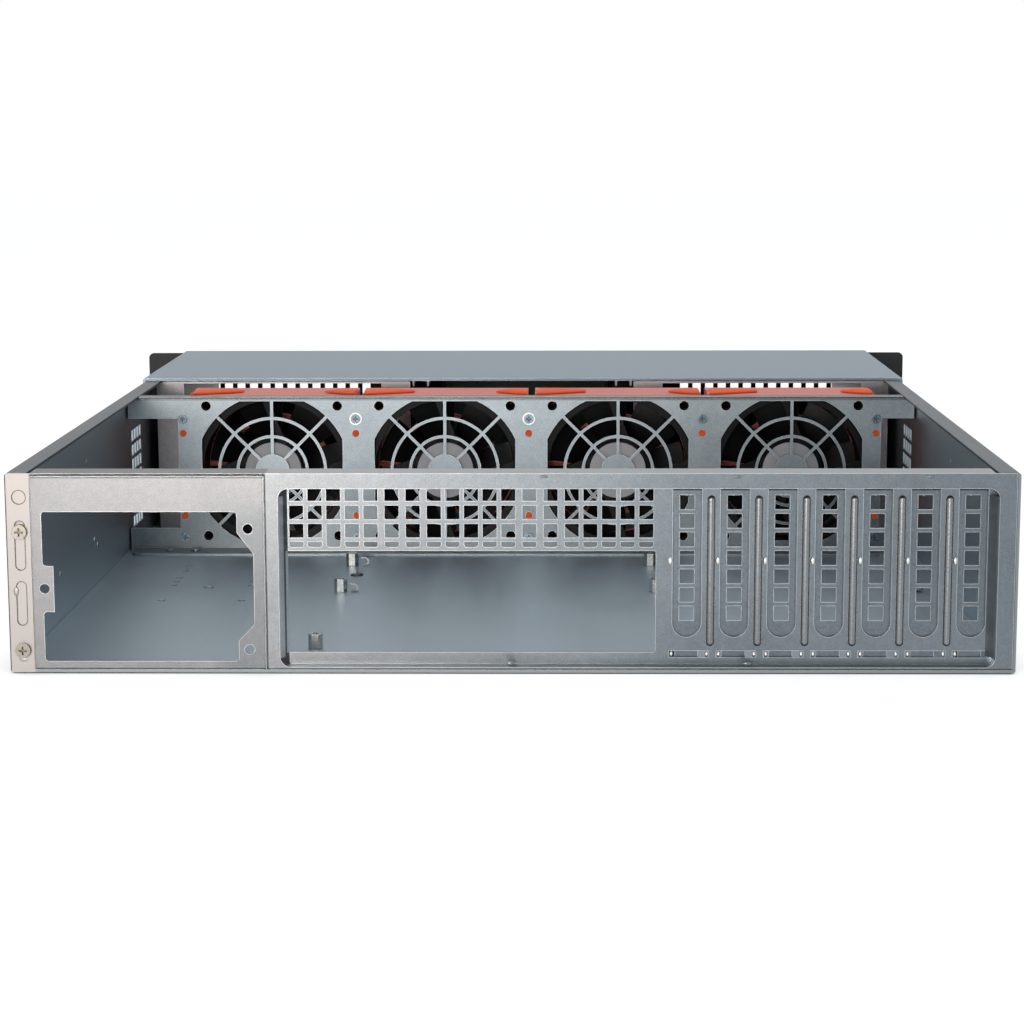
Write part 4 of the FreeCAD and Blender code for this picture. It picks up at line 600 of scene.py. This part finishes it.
class CASE_OT_panel_stamping(bpy.types.Operator):
    """Adds the ribs, slopes, catches, nubs and knobs that are stamped into the rear panel"""

    bl_idname = "case.panel_stamping"
    bl_label = "Panel stamping"

    recess = 6.5 * MM
    pitch = 20.32 * MM
    rib_radius = 1.75 * MM
    rib_levels = (12.2 * MM, 74.4 * MM)
    catch_level, catch_shift, catch_size = 47.8 * MM, -7.2 * MM, (0.9 * MM, 1.7 * MM)
    nub_level, nub_reach, nub_shift, nub_size = 6.85 * MM, 7.6 * MM, 1.1 * MM, (0.75 * MM, 1.45 * MM)
    slope_left, slope_right = -99.4 * MM, 207.1 * MM
    slope_width = 3.4 * MM
    slope_levels = (6.2 * MM, 76.4 * MM)
    slope_bow = 0.35
    slope_cover, slope_backing = 0.06 * MM, 0.25 * MM
    foot_level, foot_knob_height = 4.2 * MM, 0.9 * MM
    foot_knobs = ((101.0 * MM, 2.0 * MM), (-0.6 * MM, 1.7 * MM))
    rim_level, rim_knob_size = 85.2 * MM, (1.8 * MM, 0.55 * MM)
    rim_knobs = (14.0 * MM, 96.1 * MM, 177.9 * MM)

    def slope(self, rear, start, side):
        """The stamped slope at one side of the recess, laid just over the flat one.

        Its section falls from the rim to the recess along a mix of a half cosine, by the share
        slope_bow, and a straight line, by the rest. It is closed behind by a copy shifted into the
        slope, and it stands from the recess's foot to its top.
        """
        fall = np.linspace(0, 1, 13)
        across = start + self.slope_width * fall * side
        bowed = 0.5 - 0.5 * np.cos(math.pi * fall)
        depth = rear + self.recess * (self.slope_bow * bowed + (1 - self.slope_bow) * fall)
        front = np.column_stack([across, depth - self.slope_cover])
        back = np.column_stack([across, depth + self.slope_backing])[::-1]
        section = np.concatenate([front, back])
        return closed_rings(np.stack([
            np.column_stack([section, np.full(len(section), level)]) for level in self.slope_levels]))

    def ribs(self, centres, face):
        """A half-round rib between each slot and the next."""
        low, high = self.rib_levels
        radius, middle = self.rib_radius, (low + high) / 2
        return [blister((centre + self.pitch / 2, face, middle), radius, radius, radius,
                        length=high - low, segments=32, rings=10) for centre in centres[:-1]]

    def knobs(self, rear, rise):
        """The low knobs on the panel's foot and on its rim."""
        foot = [blister((across, rear, self.foot_level), half_width, self.foot_knob_height, rise)
                for across, half_width in self.foot_knobs]
        rim = [blister((across, rear, self.rim_level), *self.rim_knob_size, rise * 0.6)
               for across in self.rim_knobs]
        return foot + rim

    def execute(self, context):
        rise = context.scene.case_looks.blister_rise
        low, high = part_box("slot_cover_1")
        centres = (low[0] + high[0]) / 2 + self.pitch * np.arange(len(SLOTS))
        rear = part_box("rear_panel")[0][1]
        face = rear + self.recess
        place_piece("ribs", self.ribs(centres, face), "Painted highlight rib steel")
        left, right = self.slope(rear, self.slope_left, 1), self.slope(rear, self.slope_right, -1)
        # Painted light: the left slope gets the near-white highlight steel and the right one the darker
        # shade steel.
        place_piece("recess_bend", [left], "Painted highlight slope steel", smooth=60)
        place_piece("recess_bend_right", [right], "Painted shade slope steel", smooth=60)
        # Painted highlight: the catches and nubs are stamped from the panel but take the near-white zinc,
        # so they read as bright glints.
        catches = [blister((centre + self.catch_shift, face, self.catch_level), *self.catch_size, rise)
                   for centre in centres]
        place_piece("slot_catches", catches, "Zinc and painted glint")
        nubs = [blister((centre + side * self.nub_reach + self.nub_shift, face, self.nub_level),
                        *self.nub_size, rise * 1.4) for centre in centres for side in (-1, 1)]
        place_piece("lance_nubs", nubs, "Zinc and painted glint")
        place_piece("rim_knobs", self.knobs(rear, rise), "Panel steel")
        return {"FINISHED"}


class CASE_OT_strip_stamping(bpy.types.Operator):
    """Adds the marks on the plain strip at the rear left, and the bumps on the wall beside it"""

    bl_idname = "case.strip_stamping"
    bl_label = "Strip stamping"

    # In mm: a mark's shift across, level, half width, half height and rise; an outline's level,
    # half width and straight length; a bump's place along the wall and its level.
    marks = ((-2.4, 35.4, 1.1, 1.9, 0.25), (0.0, 5.6, 1.9, 0.9, 0.2))
    outlines = ((76.3, 2.87, 0.0), (55.4, 2.05, 17.1), (30.2, 2.05, 14.8))
    bumps = ((-78.0, 24.0), (-70.0, 20.0), (-166.0, 22.7))
    outline_width, outline_rise = 0.3 * MM, 0.08 * MM
    steel = 1.2 * MM
    bump_size = (1.5 * MM, 2.2 * MM, 0.8 * MM)

    def execute(self, context):
        low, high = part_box("psu_plate_screws")
        centre = (low[0] + high[0]) / 2
        left, rear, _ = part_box("chassis_tray")[0]
        marks = [blister((centre + shift, rear, level), *size)
                 for shift, level, *size in np.array(self.marks) * MM]
        place_piece("strip_marks", marks, "Tray steel")
        # Painted shade: thin dark rings stand for the shade in the grooves round the pressed marks.
        outlines = [hoop((centre, rear, level), half, half, self.outline_width, self.outline_rise, length)
                    for level, half, length in np.array(self.outlines) * MM]
        place_piece("strip_outlines", outlines, "Painted groove shade")
        bumps = [blister((left + self.steel, place, level), *self.bump_size, (1, 0, 0))
                 for place, level in np.array(self.bumps) * MM]
        place_piece("wall_bumps", bumps, "Zinc screws")
        return {"FINISHED"}


class CASE_OT_floor_hooks(bpy.types.Operator):
    """Bends a small hook up out of the floor beside the farther standoffs"""

    bl_idname = "case.floor_hooks"
    bl_label = "Floor hooks"

    floor = 1.2 * MM
    steel = 0.7 * MM
    hook_radius = 1.9 * MM
    foot_length, tip_length = 1.4 * MM, 1.9 * MM
    standoff_radius = 3.2 * MM
    middle_column, rear_row, front_margin = 69.1 * MM, -94.4 * MM, 2.8 * MM
    beside = 6.6 * MM
    clip_place, clip_size = (4.5 * MM, -49.5 * MM), (3.4 * MM, 5.5 * MM, 1.1 * MM)

    def hook(self, x, y, width):
        """A strip that rises from the floor, turns over half a circle and comes back to the left."""
        turn = np.linspace(-0.5 * math.pi, 0.5 * math.pi, 17)
        bend = self.hook_radius * np.column_stack([np.cos(turn), np.zeros_like(turn), 1 + np.sin(turn)])
        foot, tip = bend[0] - (self.foot_length, 0, 0), bend[-1] - (self.tip_length, 0, 0)
        path = np.concatenate([[foot], bend, [tip]]) + (x, y, self.floor + self.steel / 2)
        return swept_strip(path, width, self.steel)

    def execute(self, context):
        width = context.scene.case_looks.hook_width
        low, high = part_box("mainboard_standoffs")
        left, right = low[0] + self.standoff_radius, high[0] - self.standoff_radius
        hooks = [self.hook(column + self.beside, row, width)
                 for column in (left, self.middle_column, right)
                 for row in (self.rear_row, high[1] - self.front_margin)]
        shift, row = self.clip_place
        clip = blister((left + shift, row, self.floor), *self.clip_size, (0, 0, 1))
        place_piece("floor_hooks", hooks + [clip], "Panel steel")
        return {"FINISHED"}


class CASE_OT_cage_tabs(bpy.types.Operator):
    """Puts the bright latch tabs on top of each fan cage"""

    bl_idname = "case.cage_tabs"
    bl_label = "Cage tabs"

    rise = 0.8 * MM
    sunk = 0.1 * MM
    # In mm, from the cage's rear left and rear right corners.
    left_tab = ((0.3, 0.4), (27.5, 12.5), (28.0, 19.0), (14.0, 27.0), (2.5, 27.0))
    right_tab = ((-17.5, 12.0), (-8.0, 4.5), (-0.3, 3.0), (-0.3, 24.0), (-7.0, 26.0))

    def tab(self, outline, corner):
        """A flat plate over an outline; its top ring is drawn in a little towards the middle."""
        outline = np.asarray(outline) * MM
        middle = outline.mean(axis=0)
        levels = ((1.0, -self.sunk), (1.0, self.rise * 0.6), (0.93, self.rise))
        return closed_rings(np.stack([
            np.column_stack([middle + (outline - middle) * share, np.full(len(outline), height)])
            for share, height in levels]) + corner)

    def execute(self, context):
        for number in FANS:
            low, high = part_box(f"fan_cage_{number}")
            tabs = [self.tab(self.left_tab, (low[0], low[1], high[2])),
                    self.tab(self.right_tab, (high[0], low[1], high[2]))]
            place_piece(f"cage_tabs_{number}", tabs, "Vivid orange plastic", f"fan_module_{number}", 30)
        return {"FINISHED"}


class CASE_OT_wall_washers(bpy.types.Operator):
    """Puts bright washers round the two upper screws in the middle of the fan wall"""

    bl_idname = "case.wall_washers"
    bl_label = "Wall washers"

    head_rise = 1.2 * MM
    head = 2.5 * MM
    width = 0.9 * MM
    thickness = 0.15 * MM

    def execute(self, context):
        low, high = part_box("fan_guide_screws")
        face, level = low[1] + self.head_rise, high[2] - self.head
        rings = []
        for guide in ("fan_guide_2", "fan_guide_3"):
            left, right = (corner[0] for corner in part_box(guide))
            centre = ((left + right) / 2, face, level)
            rings.append(hoop(centre, self.head, self.head, self.width, self.thickness))
        place_piece("wall_washers", rings, "Zinc and painted glint")
        return {"FINISHED"}


class CASE_OT_shade_foam(bpy.types.Operator):
    """Stands a black foam sheet behind the lower part of each half of the front grille, as painted shade
    that darkens the openings
    """

    bl_idname = "case.air_filters"
    bl_label = "Shade foam"

    gap = 0.3 * MM
    thickness = 1.6 * MM
    inner, outer = 57.5 * MM, 211.5 * MM
    base, top = 2.0 * MM, 58.0 * MM
    lump_height = 0.25 * MM
    lumps_across, lumps_up = 1900, 2100

    def foam(self, side, front):
        """A sheet whose front is the product of two sine waves, one across and one up."""
        columns, rows = 78, 29
        across, up = np.meshgrid(np.linspace(self.inner, self.outer, columns),
                                 np.linspace(self.base, self.top, rows))
        lump = self.lump_height * (np.sin(across * self.lumps_across) * np.sin(up * self.lumps_up) - 1)
        face = np.stack([across * side, front + lump, up], axis=-1)
        back = np.stack([across * side, np.full_like(up, front - self.thickness), up], axis=-1)
        count = rows * columns
        index = np.arange(count).reshape(rows, columns)
        rim = np.concatenate([index[0], index[1:, -1], index[-1, -2::-1], index[-2:0:-1, 0]])
        sides = np.stack([rim, np.roll(rim, -1), np.roll(rim, -1) + count, rim + count], axis=-1)
        sheet = grid_faces(rows, columns)
        quads = np.concatenate([sheet[:, ::-1], sheet + count, sides])
        return outward(np.concatenate([face.reshape(-1, 3), back.reshape(-1, 3)]), quads)

    def execute(self, context):
        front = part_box("chassis_tray")[1][1] - self.gap
        for name, side in (("shade_foam_left", -1), ("shade_foam_right", 1)):
            place_piece(name, [self.foam(side, front)], "Painted shade foam", smooth=60)
        return {"FINISHED"}


class CASE_OT_lid_rivets(bpy.types.Operator):
    """Adds the flush rivet heads that show on top of the lid"""

    bl_idname = "case.lid_rivets"
    bl_label = "Lid rivets"

    rise = 0.35 * MM
    head = 1.6 * MM
    column = 58.3 * MM
    left_rows = (250.8 * MM, 186.1 * MM)
    right_rows = (187.4 * MM, 122.7 * MM)

    def execute(self, context):
        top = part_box("front_cover")[1][2] - self.rise
        heads = [blister((column, row, top), self.head, self.head, self.rise * 0.9, (0, 0, 1))
                 for column, rows in ((-self.column, self.left_rows), (self.column, self.right_rows))
                 for row in rows]
        place_piece("lid_rivets", heads, "Zinc and painted glint")
        return {"FINISHED"}


class CASE_OT_stage(bpy.types.Operator):
    """Sets the white studio: floor, soft lights, sky and camera"""

    bl_idname = "case.stage"
    bl_label = "Studio"

    floor_side = 6.0
    floor_drop = 0.5 * MM
    floor_glow, floor_white = 1.25, 0.7
    covered = (
        ("X", -0.2125, -0.2115), ("X", 0.2125, 0.2115),
        ("Y", -0.2665, -0.2655), ("Y", 0.25, 0.249),
    )
    room_below = (0.55, 0.56, 0.58, 1)
    room_level = (0.42, 0.46, 0.50, 1)
    room_above = (0.62, 0.68, 0.74, 1)
    room_middle, room_strength = 0.55, 0.75
    fill_power = 2
    camera_place = (0.0176, -1.2974, 0.2366)
    camera_angles = (9.21, -0.96, -0.15)
    lens, sensor = 86.1, 36.0

    def execute(self, context):
        scene = context.scene
        self.floor()
        self.sky(scene)
        self.lights(scene)
        self.camera(scene)
        scene.view_settings.view_transform = "Standard"
        scene.view_settings.look = "None"
        scene.view_settings.exposure = 0.0
        return {"FINISHED"}

    def floor(self):
        """A wide white floor that glows where it is looked at, apart from the shadow under the case."""
        shader = Shader("Studio floor")
        glow = shader.fill(shader.node("ShaderNodeEmission"), Strength=self.floor_glow)
        white = shader.math("MULTIPLY", shader.looked_at(), self.floor_white)
        under = shader.math("MAXIMUM", shader.within(*self.covered), shader.creases(30 * MM, 0.1, 0.6))
        choice = shader.node("ShaderNodeMixShader")
        shader.plug(shader.math("SUBTRACT", white, under, clamp=True), choice.inputs["Fac"])
        shader.plug(shader.surface.outputs["BSDF"], choice.inputs[1])
        shader.plug(glow.outputs["Emission"], choice.inputs[2])
        shader.plug(choice.outputs["Shader"], shader.output.inputs["Surface"])
        unevenness = shader.noise(3, detail=4, roughness=0.55)
        paint = shader.blend(unevenness, (0.84, 0.84, 0.84), (0.88, 0.88, 0.88))
        shader.finish(Base_Color=paint, Roughness=0.9)
        corners = np.array([(-1, -1, 0), (1, -1, 0), (1, 1, 0), (-1, 1, 0)]) * self.floor_side
        corners[:, 2] -= self.floor_drop
        mesh_object("studio_floor", (corners, np.array([[0, 1, 2, 3]]), []), shader.material)

    def sky(self, scene):
        """Plain white where it is looked at, and a grey room that pales downwards and upwards."""
        world = bpy.data.worlds.new("Studio sky")
        scene.world = world
        world.use_nodes = True
        sky = Nodes(world.node_tree)
        split = sky.fill(sky.node("ShaderNodeSeparateXYZ"),
                         Vector=sky.node("ShaderNodeTexCoord").outputs["Generated"])
        height = sky.spread(split.outputs["Z"], 0.0, 1.0, start=-1.0, end=1.0)
        ramp = sky.fill(sky.node("ShaderNodeValToRGB"), Fac=height)
        stops = ramp.color_ramp.elements
        stops[0].color, stops[1].color = self.room_below, self.room_above
        stops.new(self.room_middle).color = self.room_level
        room = sky.fill(sky.node("ShaderNodeBackground"), Color=ramp.outputs["Color"],
                        Strength=self.room_strength)
        white = sky.fill(sky.node("ShaderNodeBackground"), Color=(1, 1, 1, 1))
        choice = sky.fill(sky.node("ShaderNodeMixShader"), Fac=sky.looked_at())
        sky.plug(room.outputs["Background"], choice.inputs[1])
        sky.plug(white.outputs["Background"], choice.inputs[2])
        sky.fill(sky.node("ShaderNodeOutputWorld"), Surface=choice.outputs["Shader"])

    def area_light(self, scene, name, place, aim, size, power, colour):
        """A rectangular light at a place, turned towards a point."""
        light = bpy.data.lights.new(name, "AREA")
        light.shape = "RECTANGLE"
        light.size, light.size_y = size
        light.energy = power
        light.color = colour
        item = bpy.data.objects.new(name, light)
        scene.collection.objects.link(item)
        item.location = place
        item.rotation_euler = (Vector(aim) - item.location).to_track_quat("-Z", "Y").to_euler()

    def lights(self, scene):
        """A low warm key at the left, a weak fill at the right and a wide soft light above."""
        looks = scene.case_looks
        self.area_light(scene, "low_key", place=(-0.40, -2.1, 0.2), aim=(-0.2, -0.27, 0.05),
                        size=(0.55, 0.38), power=looks.key_power, colour=(1.0, 0.945, 0.89))
        self.area_light(scene, "right_fill", place=(1.7, -1.3, 0.9), aim=(0, 0, 0.05),
                        size=(1.2, 1.2), power=self.fill_power, colour=(0.93, 0.96, 1.0))
        self.area_light(scene, "top", place=(0, 0.2, 1.9), aim=(0, 0, 0),
                        size=(1.8, 1.8), power=looks.top_power, colour=(0.96, 0.98, 1.0))

    def camera(self, scene):
        """The camera, from its place and its pitch, yaw and roll.

        The line ahead comes from the pitch and the yaw, the level line across it from the yaw alone,
        and the roll turns right and up about the line ahead.
        """
        data = bpy.data.cameras.new("Camera")
        data.sensor_width = self.sensor
        data.lens = self.lens
        data.clip_start = 0.05
        item = bpy.data.objects.new("Camera", data)
        scene.collection.objects.link(item)
        pitch, yaw, roll = np.radians(self.camera_angles).tolist()
        flat = math.cos(pitch)
        ahead = Vector((math.sin(yaw) * flat, math.cos(yaw) * flat, -math.sin(pitch)))
        level = Vector((math.cos(yaw), -math.sin(yaw), 0))
        upright = level.cross(ahead)
        right = level * math.cos(roll) + upright * math.sin(roll)
        up = upright * math.cos(roll) - level * math.sin(roll)
        turn = Matrix((right, up, -ahead)).transposed().to_4x4()
        item.matrix_world = Matrix.Translation(self.camera_place) @ turn
        scene.camera = item


class CASE_PT_panel(bpy.types.Panel):
    """Buttons for the case's looks"""

    bl_idname = "CASE_PT_panel"
    bl_label = "Rackmount case"
    bl_space_type = "VIEW_3D"
    bl_region_type = "UI"
    bl_category = "Case"

    def draw(self, context):
        layout = self.layout
        for name in CaseLooks.__annotations__:
            layout.prop(context.scene.case_looks, name)
        for operator in OPERATORS:
            layout.operator(operator.bl_idname)


OPERATORS = (
    CASE_OT_finishes, CASE_OT_hub_labels, CASE_OT_panel_stamping, CASE_OT_strip_stamping,
    CASE_OT_floor_hooks, CASE_OT_cage_tabs, CASE_OT_wall_washers, CASE_OT_shade_foam, CASE_OT_lid_rivets,
    CASE_OT_stage,
)
CLASSES = (CaseLooks, *OPERATORS, CASE_PT_panel)


def register():
    """Registers the classes and gives every scene the case's looks."""
    for item in CLASSES:
        bpy.utils.register_class(item)
    bpy.types.Scene.case_looks = bpy.props.PointerProperty(type=CaseLooks)


def unregister():
    """Takes the looks and the classes away again."""
    del bpy.types.Scene.case_looks
    for item in reversed(CLASSES):
        bpy.utils.unregister_class(item)


def main():
    register()
    for operator in OPERATORS:
        group, name = operator.bl_idname.split(".")
        getattr(getattr(bpy.ops, group), name)()


if __name__ == "__main__":
    main()
